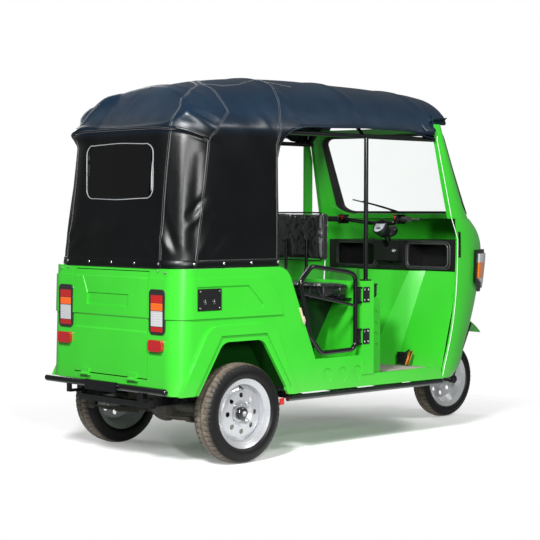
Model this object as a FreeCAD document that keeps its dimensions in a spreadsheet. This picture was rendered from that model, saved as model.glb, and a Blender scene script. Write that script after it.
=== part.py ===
import FreeCAD, Part
import Sketcher
import math
import os

# Electric auto rickshaw with three wheels, a fabric hood and two tube doors.
# Millimetres. X runs forward, Y to the left side, Z up. The ground is Z = 0, the origin is
# on the centreline half way along the vehicle. Stations along X are counted from the rear axle.

doc = FreeCAD.newDocument("AutoRickshaw")
sheet = doc.addObject("Spreadsheet::Sheet", "Sizes")
nodes = []


class Size:
    """A size with the value it has now and the cell expression that gives it."""

    def __init__(self, value, text):
        self.value = float(value)
        self.text = text

    def __add__(self, other):
        other = as_size(other)
        return Size(self.value + other.value, "(%s + %s)" % (self.text, other.text))

    def __sub__(self, other):
        other = as_size(other)
        return Size(self.value - other.value, "(%s - %s)" % (self.text, other.text))

    def __mul__(self, factor):
        return Size(self.value * factor, "(%s * %s)" % (self.text, factor))

    def __truediv__(self, divisor):
        return Size(self.value / divisor, "(%s / %s)" % (self.text, divisor))

    def __neg__(self):
        return Size(-self.value, "(0 - %s)" % self.text)


def as_size(thing):
    if isinstance(thing, Size):
        return thing
    return Size(thing, "%s" % thing)


def number(thing):
    return as_size(thing).value


def size(alias, value):
    """Write one driving size into the sheet and hand it back."""
    size.row += 1
    sheet.set("A%d" % size.row, alias)
    sheet.set("B%d" % size.row, "%s" % value)
    sheet.setAlias("B%d" % size.row, alias)
    return Size(value, "Sizes.%s" % alias)


size.row = 0


def bind(thing, name, value):
    """Give a property its size, by expression where the size comes from the sheet."""
    if isinstance(value, Size):
        thing.setExpression(name, value.text)
    else:
        setattr(thing, name, value)


def vec(x, y, z):
    return FreeCAD.Vector(number(x), number(y), number(z))


# Driving sizes: stance
axle_x = size("axle_x", -953.6)
wheelbase = size("wheelbase", 2117)
half_track = size("half_track", 479)
rear_tyre_radius = size("rear_tyre_radius", 247)
rear_tyre_width = size("rear_tyre_width", 132)
rear_rim_radius = size("rear_rim_radius", 168)
rear_rim_width = size("rear_rim_width", 108)
front_tyre_radius = size("front_tyre_radius", 229)
front_tyre_width = size("front_tyre_width", 108)
front_rim_radius = size("front_rim_radius", 164)
front_rim_width = size("front_rim_width", 88)
pod_radius = size("pod_radius", 46)
nose_fullness = size("nose_fullness", 0.7071)
cowl_start = size("cowl_start", 1800)
vent_count = size("vent_count", 4)
vent_low = size("vent_low", 742)
vent_pitch = size("vent_pitch", 26)
vent_height = size("vent_height", 12)
vent_half = size("vent_half", 120)
lamp_inner = size("lamp_inner", 205)
lamp_rear = size("lamp_rear", 1815)
lamp_top = size("lamp_top", 1022)
lamp_low_rear = size("lamp_low_rear", 838)
lamp_bottom = size("lamp_bottom", 775)
lamp_margin = size("lamp_margin", 22)
lamp_housing_proud = size("lamp_housing_proud", 20)
lamp_lens_proud = size("lamp_lens_proud", 28)
hood_eave_half = size("hood_eave_half", 496)
hood_corner_low = size("hood_corner_low", 165)
hood_corner_high = size("hood_corner_high", 262)
arch_shoulder = size("arch_shoulder", 0.72)
gap = size("gap", 0.3)
body_half_width = size("body_half_width", 515)
body_wall = size("body_wall", 14)
tub_rear_low = size("tub_rear_low", -423)
tub_rear_high = size("tub_rear_high", -405)
tub_bottom = size("tub_bottom", 356)
sill_bottom = size("sill_bottom", 318)
belt = size("belt", 962)
tub_corner = size("tub_corner", 95)
sill_start = size("sill_start", 310)
door_rear_low = size("door_rear_low", 505)
door_sill = size("door_sill", 488)
shoulder_x = size("shoulder_x", 306)
hood_front = size("hood_front", 238)
arch_top = size("arch_top", 604)
arch_half_foot = size("arch_half_foot", 292)
flare_depth = size("flare_depth", 18)
flare_top = size("flare_top", 683)
flare_rear_foot = size("flare_rear_foot", -407)
flare_rear_knee = size("flare_rear_knee", -222)
flare_front_knee = size("flare_front_knee", 203)
flare_front_foot = size("flare_front_foot", 368)
flare_round = size("flare_round", 90)
flare_bevel = size("flare_bevel", 32)
flare_bevel_depth = size("flare_bevel_depth", 9)
arch_knee = size("arch_knee", 132)
arch_round = size("arch_round", 70)
shoulder_round = size("shoulder_round", 100)
belt_round = size("belt_round", 8)
band_low = size("band_low", 722)
band_high = size("band_high", 915)
band_front = size("band_front", 272)
band_proud = size("band_proud", 7)
liner_half_inner = size("liner_half_inner", 396)
liner_wall = size("liner_wall", 8)
gate_half_width = size("gate_half_width", 290)
gate_low = size("gate_low", 428)
gate_high = size("gate_high", 945)
gate_play = size("gate_play", 4)
recess_depth = size("recess_depth", 5)
recess_low = size("recess_low", 758)
recess_high = size("recess_high", 876)
recess_rear = size("recess_rear", -300)
recess_front = size("recess_front", 134)
recess_front_high = size("recess_front_high", 36)
plate_rear = size("plate_rear", -292)
plate_front = size("plate_front", -146)
plate_low = size("plate_low", 762)
plate_high = size("plate_high", 866)
plate_thickness = size("plate_thickness", 7)
deck_top = size("deck_top", 576)
deck_thickness = size("deck_thickness", 14)
bench_front = size("bench_front", 226)
floor_top = size("floor_top", 362)
rear_floor_half = size("rear_floor_half", 387)
panel_top = size("panel_top", 965)
side_post_rear = size("side_post_rear", 1432)
side_post_width = size("side_post_width", 62)
side_post_top = size("side_post_top", 1640)
panel_wall = size("panel_wall", 16)
gate_thickness = size("gate_thickness", 16)
gate_pressing = size("gate_pressing", 5)
gate_press_half = size("gate_press_half", 247)
gate_press_foot = size("gate_press_foot", 193)
gate_press_low = size("gate_press_low", 829)
pull_half = size("pull_half", 167)
pull_middle = size("pull_middle", 25)
pull_low = size("pull_low", 769)
pull_depth = size("pull_depth", 11)
channel_low = size("channel_low", 655)
hinge_barrel = size("hinge_barrel", 8)
hinge_pin = size("hinge_pin", 4)
hinge_play = size("hinge_play", 0.3)
hinge_y = size("hinge_y", 190)
hinge_length = size("hinge_length", 60)
gate_hinge_x = size("gate_hinge_x", -432)
gate_hinge_z = size("gate_hinge_z", 420)
sill_end = size("sill_end", 1500)
cab_sill = size("cab_sill", 378)
box_rear = size("box_rear", 848)
sill_depth = size("sill_depth", 26)
floor_skin = size("floor_skin", 12)
emboss_depth = size("emboss_depth", 4)
emboss_width = size("emboss_width", 58)
emboss_low = size("emboss_low", 352)
emboss_high = size("emboss_high", 430)
emboss_first = size("emboss_first", 596)
emboss_pitch = size("emboss_pitch", 112)
box_front = size("box_front", 941)
partition_wall = size("partition_wall", 18)
post_inner = size("post_inner", 425)
post_proud = size("post_proud", 4)
partition_top = size("partition_top", 872)
seat_box_front = size("seat_box_front", 1165)
seat_box_half = size("seat_box_half", 360)
rib_count = size("rib_count", 4)
rib_low = size("rib_low", 505)
rib_pitch = size("rib_pitch", 60)
rib_height = size("rib_height", 14)
rib_depth = size("rib_depth", 4)
rib_end = size("rib_end", 26)
seat_box_top = size("seat_box_top", 765)
box_skin = size("box_skin", 10)
cowl_wall = size("cowl_wall", 9)
cowl_half = size("cowl_half", 515)
well_half = size("well_half", 205)
well_rear = size("well_rear", 1800)
well_top = size("well_top", 640)
cowl_low = size("cowl_low", 312)
cowl_top = size("cowl_top", 1200)
nose_reach = size("nose_reach", 555)
steer_top_x = size("steer_top_x", 1600)
steer_top_z = size("steer_top_z", 1120)
rake = size("rake", 26)
column_hole = size("column_hole", 34)
screen_wall = size("screen_wall", 26)
glass_thickness = size("glass_thickness", 5)
screen_top = size("screen_top", 1722)
screen_base_reach = size("screen_base_reach", 372)
screen_top_reach = size("screen_top_reach", 130)
screen_top_start = size("screen_top_start", 1497)
screen_base_start = size("screen_base_start", 1618)
screen_return = size("screen_return", 45)
screen_top_half = size("screen_top_half", 486)
screen_rear = size("screen_rear", 1400)
screen_reach = size("screen_reach", 900)
glass_half_low = size("glass_half_low", 484)
glass_half_high = size("glass_half_high", 468)
glass_low = size("glass_low", 1226)
glass_high = size("glass_high", 1688)
rubber_width = size("rubber_width", 16)
rubber_proud = size("rubber_proud", 5)
bulkhead_foot = size("bulkhead_foot", 1504)
bulkhead_head = size("bulkhead_head", 1648)
bulkhead_top = size("bulkhead_top", 900)
bulkhead_skin = size("bulkhead_skin", 10)
hump_depth = size("hump_depth", 62)
hump_foot_half = size("hump_foot_half", 185)
hump_foot_ridge = size("hump_foot_ridge", 12)
hump_head_half = size("hump_head_half", 272)
hump_head_ridge = size("hump_head_ridge", 196)
shelf_low = size("shelf_low", 905)
shelf_high = size("shelf_high", 1072)
shelf_rear = size("shelf_rear", 1652)
shelf_skin = size("shelf_skin", 8)
glove_inner = size("glove_inner", 140)
glove_outer = size("glove_outer", 440)
glove_depth = size("glove_depth", 120)
console_half = size("console_half", 92)
console_rear = size("console_rear", 1606)
hood_half = size("hood_half", 508)
hood_wall = size("hood_wall", 6)
hood_eave = size("hood_eave", 1650)
hood_crown = size("hood_crown", 1935)
hood_rear_low = size("hood_rear_low", -410)
hood_rear_high = size("hood_rear_high", -350)
hood_slope_x = size("hood_slope_x", -195)
hood_slope_z = size("hood_slope_z", 1822)
roof_front = size("roof_front", 1472)
roof_front_reach = size("roof_front_reach", 170)
door_hood_front = size("door_hood_front", 1498)
window_half = size("window_half", 256)
window_corner = size("window_corner", 34)
window_low = size("window_low", 1296)
window_high = size("window_high", 1572)
frame_tube = size("frame_tube", 12)
pillar_x = size("pillar_x", 922)
rail_half = size("rail_half", 476)
rail_height = size("rail_height", 1636)
stay_half = size("stay_half", 400)
rail_end = size("rail_end", 1470)
rail_back = size("rail_back", -326)
rail_corner = size("rail_corner", 250)
guard_stay = size("guard_stay", 652)
bow_drop = size("bow_drop", 22)
rail_y = size("rail_y", 285)
rail_low = size("rail_low", 292)
rail_high = size("rail_high", 349.7)
rail_wide = size("rail_wide", 40)
rail_rear = size("rail_rear", -395)
rail_front = size("rail_front", 1700)
side_tube_y = size("side_tube_y", 492)
side_tube_z = size("side_tube_z", 292)
side_tube_radius = size("side_tube_radius", 15)
head_radius = size("head_radius", 28)
steerer_radius = size("steerer_radius", 16)
steer_play = size("steer_play", 0.4)
head_start = size("head_start", 250)
head_end = size("head_end", 560)
bumper_x = size("bumper_x", -458)
bumper_z = size("bumper_z", 380)
bumper_half = size("bumper_half", 470)
bumper_radius = size("bumper_radius", 17)
lamp_y = size("lamp_y", 366)
lamp_low = size("lamp_low", 648)
lamp_high = size("lamp_high", 864)
lamp_half = size("lamp_half", 58)
lamp_depth = size("lamp_depth", 16)
lamp_corner = size("lamp_corner", 22)
lamp_sunk = size("lamp_sunk", 6)
mirror_depth = size("mirror_depth", 13)
mirror_half = size("mirror_half", 50)
mirror_low = size("mirror_low", 566)
mirror_high = size("mirror_high", 622)
mirror_corner = size("mirror_corner", 14)
axle_tube = size("axle_tube", 32)
case_radius = size("case_radius", 92)
motor_radius = size("motor_radius", 78)
spring_y = size("spring_y", 285)
hub_face = size("hub_face", 400)
spin_play = size("spin_play", 0.4)
spindle = size("spindle", 18)
disc_face = size("disc_face", 24)
hub_radius = size("hub_radius", 34)
stub_length = size("stub_length", 505)
fork_y = size("fork_y", 82)
fork_leg = size("fork_leg", 15)
crown_distance = size("crown_distance", 640)
leg_end = size("leg_end", 930)
guard_radius = size("guard_radius", 385)
guard_half = size("guard_half", 74)
guard_skin = size("guard_skin", 4)
bar_radius = size("bar_radius", 11)
grip_radius = size("grip_radius", 16)
bar_half = size("bar_half", 330)
door_y = size("door_y", 512)
door_tube = size("door_tube", 12)
door_bend = size("door_bend", 42)
door_hinge_x = size("door_hinge_x", 831)
door_front = size("door_front", 806)
cushion_round = size("cushion_round", 18)
pillar_a = size("pillar_a", 1502)
pillar_b = size("pillar_b", 1545)
pillar_c = size("pillar_c", 1580)
pillar_d = size("pillar_d", 1612)
pillar_e = size("pillar_e", 1625)
pillar_f = size("pillar_f", 1628)
pillar_g = size("pillar_g", 1626)
pillar_h = size("pillar_h", 1618)
level_b = size("level_b", 450)
level_c = size("level_c", 570)
level_d = size("level_d", 750)
level_e = size("level_e", 930)
level_f = size("level_f", 1070)
level_g = size("level_g", 1140)
driver_seat_rear = size("driver_seat_rear", 874)
driver_seat_front = size("driver_seat_front", 1178)
driver_seat_half = size("driver_seat_half", 356)
driver_seat_top = size("driver_seat_top", 850)
back_rear = size("back_rear", 880)
back_front = size("back_front", 948)
back_half = size("back_half", 198)
back_low = size("back_low", 965)
back_high = size("back_high", 1238)
jump_rear = size("jump_rear", 640)
jump_front = size("jump_front", 847)
jump_half = size("jump_half", 440)
stalk_y = size("stalk_y", 80)
leg_y = size("leg_y", 300)
leg_wall = size("leg_wall", 5)
leg_station = size("leg_station", 668)
leg_width = size("leg_width", 44)
leg_knee = size("leg_knee", 470)
jump_low = size("jump_low", 782)
jump_top = size("jump_top", 856)
bench_rear = size("bench_rear", -296)
bench_half = size("bench_half", 480)
bench_low = size("bench_low", 742)
bench_top = size("bench_top", 850)
bench_back_rear = size("bench_back_rear", -372)
bench_back_front = size("bench_back_front", -286)
bench_back_half = size("bench_back_half", 372)
bench_back_high = size("bench_back_high", 1270)

doc.recompute()


def finish(thing, label):
    """Name a finished piece and keep it for writing."""
    thing.Label = label
    nodes.append(thing)
    return thing


def new_body(name, x=0, y=0, z=0):
    """A body whose origin stands at a station counted from the rear axle."""
    body = doc.addObject("PartDesign::Body", name + "_body")
    body.setExpression(".Placement.Base.x", (axle_x + x).text)
    body.setExpression(".Placement.Base.y", as_size(y).text)
    body.setExpression(".Placement.Base.z", as_size(z).text)
    return finish(body, name)


def sketch_on(body, role, name, offset=0):
    """A sketch on one of the body's own origin planes, moved along the plane's normal."""
    sketch = body.newObject("Sketcher::SketchObject", name)
    for plane in body.Origin.OriginFeatures:
        if getattr(plane, "Role", "") == role:
            sketch.AttachmentSupport = (plane, [""])
    sketch.MapMode = "FlatFace"
    sketch.setExpression(".AttachmentOffset.Base.z", as_size(offset).text)
    return sketch


def fix(sketch, kind, index, point, value, name):
    if point is None:
        made = sketch.addConstraint(Sketcher.Constraint(kind, index, number(value)))
    else:
        made = sketch.addConstraint(
            Sketcher.Constraint(kind, -1, 1, index, point, number(value)))
    sketch.renameConstraint(made, name)
    if isinstance(value, Size):
        sketch.setExpression("Constraints.%s" % name, value.text)


def polygon(sketch, corners):
    """A closed outline of straight lines, each corner held by two dimensions."""
    first = sketch.GeometryCount
    count = len(corners)
    points = [vec(u, v, 0) for u, v in corners]
    for index in range(count):
        line = Part.LineSegment(points[index], points[(index + 1) % count])
        sketch.addGeometry(line, False)
    for index in range(count):
        sketch.addConstraint(Sketcher.Constraint(
            "Coincident", first + index, 2, first + (index + 1) % count, 1))
    for index, (u, v) in enumerate(corners):
        fix(sketch, "DistanceX", first + index, 1, u, "u%d" % (first + index))
        fix(sketch, "DistanceY", first + index, 1, v, "v%d" % (first + index))
    return sketch


def rectangle(sketch, u0, v0, u1, v1):
    return polygon(sketch, [(u0, v0), (u1, v0), (u1, v1), (u0, v1)])


def circle(sketch, u, v, radius):
    index = sketch.GeometryCount
    sketch.addGeometry(Part.Circle(vec(u, v, 0), vec(0, 0, 1), number(radius)), False)
    fix(sketch, "DistanceX", index, 3, u, "cu%d" % index)
    fix(sketch, "DistanceY", index, 3, v, "cv%d" % index)
    fix(sketch, "Radius", index, None, radius, "r%d" % index)
    return sketch


def feature(body, kind, name, sketch, length, reverse=False, midplane=False, taper=None):
    """A pad or pocket of one sketch."""
    made = body.newObject("PartDesign::" + kind, name)
    made.Profile = sketch
    bind(made, "Length", length)
    made.Reversed = reverse
    made.Midplane = midplane
    if taper is not None:
        bind(made, "TaperAngle", taper)
    body.Tip = made
    doc.recompute()
    return made


def both_sides(body, kind, name, draw, start, length):
    """The same sketch padded or pocketed outwards on the right and on the left side."""
    for side, sign in (("right", 1), ("left", -1)):
        where = start * sign
        sketch = draw(sketch_on(body, "XZ_Plane", "%s_%s_sketch" % (name, side), where))
        along_normal = (sign == 1)
        reverse = not along_normal if kind == "Pad" else along_normal
        feature(body, kind, "%s_%s" % (name, side), sketch, length, reverse=reverse)


def revolve(body, name, sketch, axis="H_Axis"):
    made = body.newObject("PartDesign::Revolution", name)
    made.Profile = sketch
    made.ReferenceAxis = (sketch, [axis])
    made.Angle = 360
    body.Tip = made
    doc.recompute()
    return made


def round_edges(body, name, radius, wanted):
    """Round the edges of the body's tip that the given test picks."""
    base = body.Tip
    edges = []
    for index, edge in enumerate(base.Shape.Edges):
        if wanted(edge):
            edges.append("Edge%d" % (index + 1))
    made = body.newObject("PartDesign::Fillet", name)
    made.Base = (base, edges)
    bind(made, "Radius", radius)
    body.Tip = made
    doc.recompute()
    return made


def loose(name, shape, x=0, y=0, z=0):
    """A piece whose form comes from curved sections, placed like a body."""
    thing = doc.addObject("Part::Feature", name + "_shape")
    thing.Shape = shape
    thing.setExpression(".Placement.Base.x", (axle_x + x).text)
    thing.setExpression(".Placement.Base.y", as_size(y).text)
    thing.setExpression(".Placement.Base.z", as_size(z).text)
    return finish(thing, name)


def box(x0, x1, y0, y1, z0, z1):
    low = vec(x0, y0, z0)
    return Part.makeBox(number(x1) - low.x, number(y1) - low.y, number(z1) - low.z, low)


def rod(start, end, radius):
    along = end - start
    return Part.makeCylinder(number(radius), along.Length, start, along)


def bent_wire(points, bend, closed=False):
    """Straight runs between the points, joined by arcs of the bend radius."""
    edges = []
    if closed:
        middle = (points[-1] + points[0]) * 0.5
        points = [middle] + list(points) + [middle]
    start = points[0]
    for before, corner, after in zip(points, points[1:], points[2:]):
        back = (before - corner).normalize()
        ahead = (after - corner).normalize()
        half = back.getAngle(ahead) / 2
        reach = number(bend) / math.tan(half)
        first = corner + back * reach
        last = corner + ahead * reach
        inward = (back + ahead).normalize()
        middle = corner + inward * (number(bend) / math.sin(half) - number(bend))
        edges.append(Part.makeLine(start, first))
        edges.append(Part.Arc(first, middle, last).toShape())
        start = last
    edges.append(Part.makeLine(start, points[-1]))
    return Part.Wire(edges)


def tube(points, bend, radius, closed=False):
    """A round bar bent along the points."""
    wire = bent_wire(points, bend, closed)
    start = wire.Edges[0].Vertexes[0].Point
    direction = (wire.Edges[0].Vertexes[1].Point - start).normalize()
    ring = Part.Wire(Part.makeCircle(number(radius), start, direction))
    return wire.makePipeShell([ring], True, False)


def joined(shapes):
    whole = shapes[0].multiFuse(shapes[1:])
    return whole.removeSplitter()


def mirrored(shape):
    return shape.mirror(vec(0, 0, 0), vec(0, 1, 0))


# Rear tub: side walls, rear wall, wheel housings and seat riser in one welded shell
tub = new_body("rear_tub")
outline = sketch_on(tub, "XZ_Plane", "side_outline")
polygon(outline, [
    (tub_rear_low, tub_bottom),
    (sill_start - 30, tub_bottom),
    (sill_start, sill_bottom),
    (door_rear_low, sill_bottom),
    (door_rear_low, door_sill),
    (shoulder_x, belt),
    (tub_rear_high, belt),
])
feature(tub, "Pad", "side_block", outline, body_half_width * 2, midplane=True)
round_edges(tub, "rear_corners", tub_corner, lambda edge: (
    edge.BoundBox.XMax < tub_rear_high.value + 1
    and edge.BoundBox.ZLength > (belt - tub_bottom).value - 5))
round_edges(tub, "door_shoulders", shoulder_round, lambda edge: (
    edge.BoundBox.YLength > body_half_width.value and edge.BoundBox.ZMin > belt.value - 1
    and edge.BoundBox.XMin > shoulder_x.value - 1))


def rear_line(height, proud):
    """Station of the leaning rear wall at a height, moved out by proud."""
    share = (number(height) - tub_bottom.value) / (belt - tub_bottom).value
    return tub_rear_low + (tub_rear_high - tub_rear_low) * round(share, 4) - proud


# Raised band round the upper body, over the crease
band = sketch_on(tub, "XZ_Plane", "band_outline")
polygon(band, [
    (rear_line(band_low, band_proud), band_low),
    (band_front, band_low),
    (band_front - 14, band_low + 60),
    (band_front - 50, band_high - 42),
    (band_front - 90, band_high - 8),
    (band_front - 140, band_high),
    (rear_line(band_high, band_proud), band_high),
])
feature(tub, "Pad", "band_block", band, (body_half_width + band_proud) * 2, midplane=True)
round_edges(tub, "band_corners", tub_corner + band_proud, lambda edge: (
    edge.BoundBox.XMax < rear_line(band_high, band_proud).value + 1
    and edge.BoundBox.YLength < 1 and edge.BoundBox.ZLength > 100))
inside = sketch_on(tub, "XY_Plane", "inside_plan", belt + 5)
polygon(inside, [
    (tub_rear_high + body_wall, -(body_half_width - tub_corner)),
    (tub_rear_high + tub_corner, -(body_half_width - body_wall)),
    (door_rear_low + 20, -(body_half_width - body_wall)),
    (door_rear_low + 20, body_half_width - body_wall),
    (tub_rear_high + tub_corner, body_half_width - body_wall),
    (tub_rear_high + body_wall, body_half_width - tub_corner),
])
feature(tub, "Pocket", "inside", inside, belt - sill_bottom + 20)
deck = sketch_on(tub, "XY_Plane", "deck_plan", deck_top - deck_thickness)
half_inside = body_half_width - body_wall / 2
polygon(deck, [
    (tub_rear_high + body_wall / 2, -(body_half_width - tub_corner)),
    (tub_rear_high + tub_corner, -half_inside),
    (bench_front, -half_inside),
    (bench_front, half_inside),
    (tub_rear_high + tub_corner, half_inside),
    (tub_rear_high + body_wall / 2, body_half_width - tub_corner),
])
feature(tub, "Pad", "deck", deck, deck_thickness)
riser = sketch_on(tub, "XZ_Plane", "riser_profile")
rectangle(riser, bench_front - deck_thickness, floor_top + gap, bench_front, bench_low - gap)
feature(tub, "Pad", "riser", riser, half_inside * 2, midplane=True)


def arch_line(spread):
    """The wheel opening, wider by the given spread."""
    def draw(sketch):
        return polygon(sketch, [
            (-(arch_half_foot + spread), sill_bottom - 60),
            (-(arch_half_foot + spread), tub_bottom),
            (-(arch_knee + spread * 0.6), arch_top + spread),
            (arch_knee + spread * 0.6, arch_top + spread),
            (arch_half_foot + spread, tub_bottom),
            (arch_half_foot + spread, sill_bottom - 60),
        ])
    return draw


def flare_line(sketch):
    return polygon(sketch, [
        (flare_rear_foot, tub_bottom),
        (flare_rear_knee, flare_top),
        (flare_front_knee, flare_top),
        (flare_front_foot, sill_bottom),
        (sill_start, sill_bottom),
        (sill_start - 30, tub_bottom),
    ])


def liner_line(sketch):
    return polygon(sketch, [
        (-(arch_half_foot + liner_wall), tub_bottom),
        (-(arch_knee + liner_wall), arch_top + liner_wall),
        (arch_knee + liner_wall, arch_top + liner_wall),
        (arch_half_foot + liner_wall, tub_bottom),
    ])


both_sides(tub, "Pad", "flare", flare_line, body_half_width - body_wall / 2,
           flare_depth + body_wall / 2)


def knee_edge(edge):
    """An edge across the flare at one of its two upper knees."""
    bounds = edge.BoundBox
    return (bounds.XLength < 1 and bounds.ZLength < 1 and bounds.YLength > flare_depth.value - 1
            and bounds.ZMin > flare_top.value - 1 and bounds.ZMax < flare_top.value + 1
            and max(abs(bounds.YMin), abs(bounds.YMax)) > (body_half_width + flare_depth).value - 1)


round_edges(tub, "flare_knees", flare_round, knee_edge)
both_sides(tub, "Pad", "liner", liner_line, liner_half_inner - liner_wall,
           body_half_width - body_wall / 2 - liner_half_inner + liner_wall)
both_sides(tub, "Pocket", "arch", arch_line(as_size(0)), liner_half_inner,
           body_half_width - liner_half_inner + 60)


def arch_corner(edge):
    """An edge across the wheel opening at one of its upper corners."""
    bounds = edge.BoundBox
    return (bounds.XLength < 1 and bounds.ZLength < 1 and bounds.YLength > 60
            and abs(bounds.ZMin - arch_top.value) < 1
            and abs(abs(bounds.XMin) - arch_knee.value) < 1)


round_edges(tub, "arch_corners", arch_round, arch_corner)
both_sides(tub, "Pocket", "flare_step", arch_line(flare_bevel),
           body_half_width + flare_depth - flare_bevel_depth, flare_bevel_depth + 5)
opening = sketch_on(tub, "YZ_Plane", "tailgate_opening", tub_rear_low - 10)
rectangle(opening, -(gate_half_width + gate_play), gate_low - gate_play,
          gate_half_width + gate_play, gate_high + gate_play)
feature(tub, "Pocket", "tailgate_hole", opening, 60, reverse=True)


def recess_line(sketch):
    return polygon(sketch, [
        (recess_rear, recess_low),
        (recess_front, recess_low),
        (recess_front, recess_low + 24),
        (recess_front_high, recess_high),
        (recess_rear, recess_high),
    ])


both_sides(tub, "Pocket", "side_recess", recess_line,
           body_half_width + band_proud - recess_depth, recess_depth + 5)

# Tailgate: pressed panel hung on two barrels at its lower edge

gate = new_body("tailgate")
profile = sketch_on(gate, "XZ_Plane", "gate_profile")
polygon(profile, [
    (rear_line(gate_low, 3), gate_low + 2),
    (rear_line(channel_low, 5), channel_low - 5),
    (rear_line(channel_low, 1), channel_low + 5),
    (rear_line(band_low, 1), band_low - 5),
    (rear_line(band_low, band_proud), band_low + 2),
    (rear_line(band_high, band_proud), band_high - 4),
    (rear_line(band_high, 2), band_high + 2),
    (rear_line(gate_high, 2), gate_high),
    (rear_line(gate_high, 2) + gate_thickness, gate_high),
    (rear_line(gate_low, 3) + gate_thickness, gate_low + 2),
])
feature(gate, "Pad", "gate_panel", profile, gate_half_width * 2, midplane=True)
pressing = sketch_on(gate, "YZ_Plane", "gate_pressing_sketch", tub_rear_low - 20)
polygon(pressing, [
    (-gate_press_foot, gate_press_low),
    (gate_press_foot, gate_press_low),
    (gate_press_half, gate_high + 1),
    (-gate_press_half, gate_high + 1),
])
feature(gate, "Pocket", "gate_press", pressing,
        rear_line(gate_press_low, band_proud - gate_pressing) - tub_rear_low + 20, reverse=True)
pull = sketch_on(gate, "YZ_Plane", "pull_sketch", tub_rear_low - 20)
rectangle(pull, pull_middle - pull_half, pull_low, pull_middle + pull_half, gate_press_low + 1)
feature(gate, "Pocket", "pull_recess", pull,
        rear_line(pull_low, band_proud - pull_depth) - tub_rear_low + 20, reverse=True)
for side, sign in (("right", -1), ("left", 1)):
    barrel = sketch_on(gate, "XZ_Plane", "barrel_sketch_" + side, -hinge_y * sign)
    polygon(barrel, [
        (gate_hinge_x, gate_hinge_z + hinge_pin + 2),
        (gate_hinge_x, gate_hinge_z + hinge_barrel + 22),
        (tub_rear_low + 6, gate_hinge_z + hinge_barrel + 22),
        (tub_rear_low + 6, gate_hinge_z + hinge_pin + 2),
    ])
    feature(gate, "Pad", "leaf_" + side, barrel, hinge_length, midplane=True)
    ring = sketch_on(gate, "XZ_Plane", "ring_sketch_" + side, -hinge_y * sign)
    circle(ring, gate_hinge_x, gate_hinge_z, hinge_barrel)
    feature(gate, "Pad", "barrel_" + side, ring, hinge_length, midplane=True)
    bore = sketch_on(gate, "XZ_Plane", "bore_sketch_" + side, -hinge_y * sign)
    circle(bore, gate_hinge_x, gate_hinge_z, hinge_pin + hinge_play)
    feature(gate, "Pocket", "bore_" + side, bore, hinge_length + 20, midplane=True)

# Pins of the tailgate on lugs of the tub
for side, sign in (("right", -1), ("left", 1)):
    for end, step in (("inner", -1), ("outer", 1)):
        middle = hinge_y * sign + (hinge_length / 2 + 5) * step
        lug = sketch_on(tub, "XZ_Plane", "lug_%s_%s" % (side, end), -middle)
        polygon(lug, [
            (gate_hinge_x - 7, gate_hinge_z - 7),
            (tub_rear_low + 4, gate_hinge_z - 7),
            (tub_rear_low + 4, gate_low - gate_play - 6 + 4),
            (gate_hinge_x - 7, gate_hinge_z + 5),
        ])
        feature(tub, "Pad", "lug_pad_%s_%s" % (side, end), lug, 6, midplane=True)
    pin = sketch_on(tub, "XZ_Plane", "pin_%s" % side, -hinge_y * sign)
    circle(pin, gate_hinge_x, gate_hinge_z, hinge_pin)
    feature(tub, "Pad", "pin_pad_%s" % side, pin, hinge_length + 14, midplane=True)

# Floor pan with sills

pan = new_body("floor_pan")
sill = sketch_on(pan, "XZ_Plane", "sill_outline")
polygon(sill, [
    (door_rear_low + gap, sill_bottom),
    (sill_end, sill_bottom - 6),
    (sill_end, cab_sill),
    (box_rear, cab_sill),
    (box_rear, door_sill - 6),
    (door_rear_low + gap, door_sill - 6),
])
feature(pan, "Pad", "sills", sill, body_half_width * 2, midplane=True)
above = sketch_on(pan, "XY_Plane", "above_floor", floor_top)
rectangle(above, door_rear_low - 20, -(body_half_width - sill_depth),
          sill_end + 20, body_half_width - sill_depth)
feature(pan, "Pocket", "footwell", above, door_sill, reverse=True)
below = sketch_on(pan, "XY_Plane", "below_floor", floor_top - floor_skin)
rectangle(below, door_rear_low - 20, -(body_half_width - sill_depth),
          sill_end + 20, body_half_width - sill_depth)
feature(pan, "Pocket", "underside", below, 100)
lip = sketch_on(pan, "XZ_Plane", "rear_floor")
polygon(lip, [
    (bench_front + gap, floor_top - floor_skin),
    (door_rear_low + 10, floor_top - floor_skin),
    (door_rear_low + 10, floor_top),
    (bench_front + gap, floor_top),
])
feature(pan, "Pad", "rear_floor_pad", lip, rear_floor_half * 2, midplane=True)


def oval_row(index):
    def draw(sketch):
        middle = emboss_first + emboss_pitch * index
        return polygon(sketch, [
            (middle - emboss_width / 2, emboss_low + 22),
            (middle - emboss_width / 3, emboss_low + 6),
            (middle, emboss_low),
            (middle + emboss_width / 3, emboss_low + 6),
            (middle + emboss_width / 2, emboss_low + 22),
            (middle + emboss_width / 2, emboss_high - 22),
            (middle + emboss_width / 3, emboss_high - 6),
            (middle, emboss_high),
            (middle - emboss_width / 3, emboss_high - 6),
            (middle - emboss_width / 2, emboss_high - 22),
        ])
    return draw


for index in range(3):
    both_sides(pan, "Pocket", "oval_%d" % index, oval_row(index),
               body_half_width - emboss_depth, emboss_depth + 5)

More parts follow.
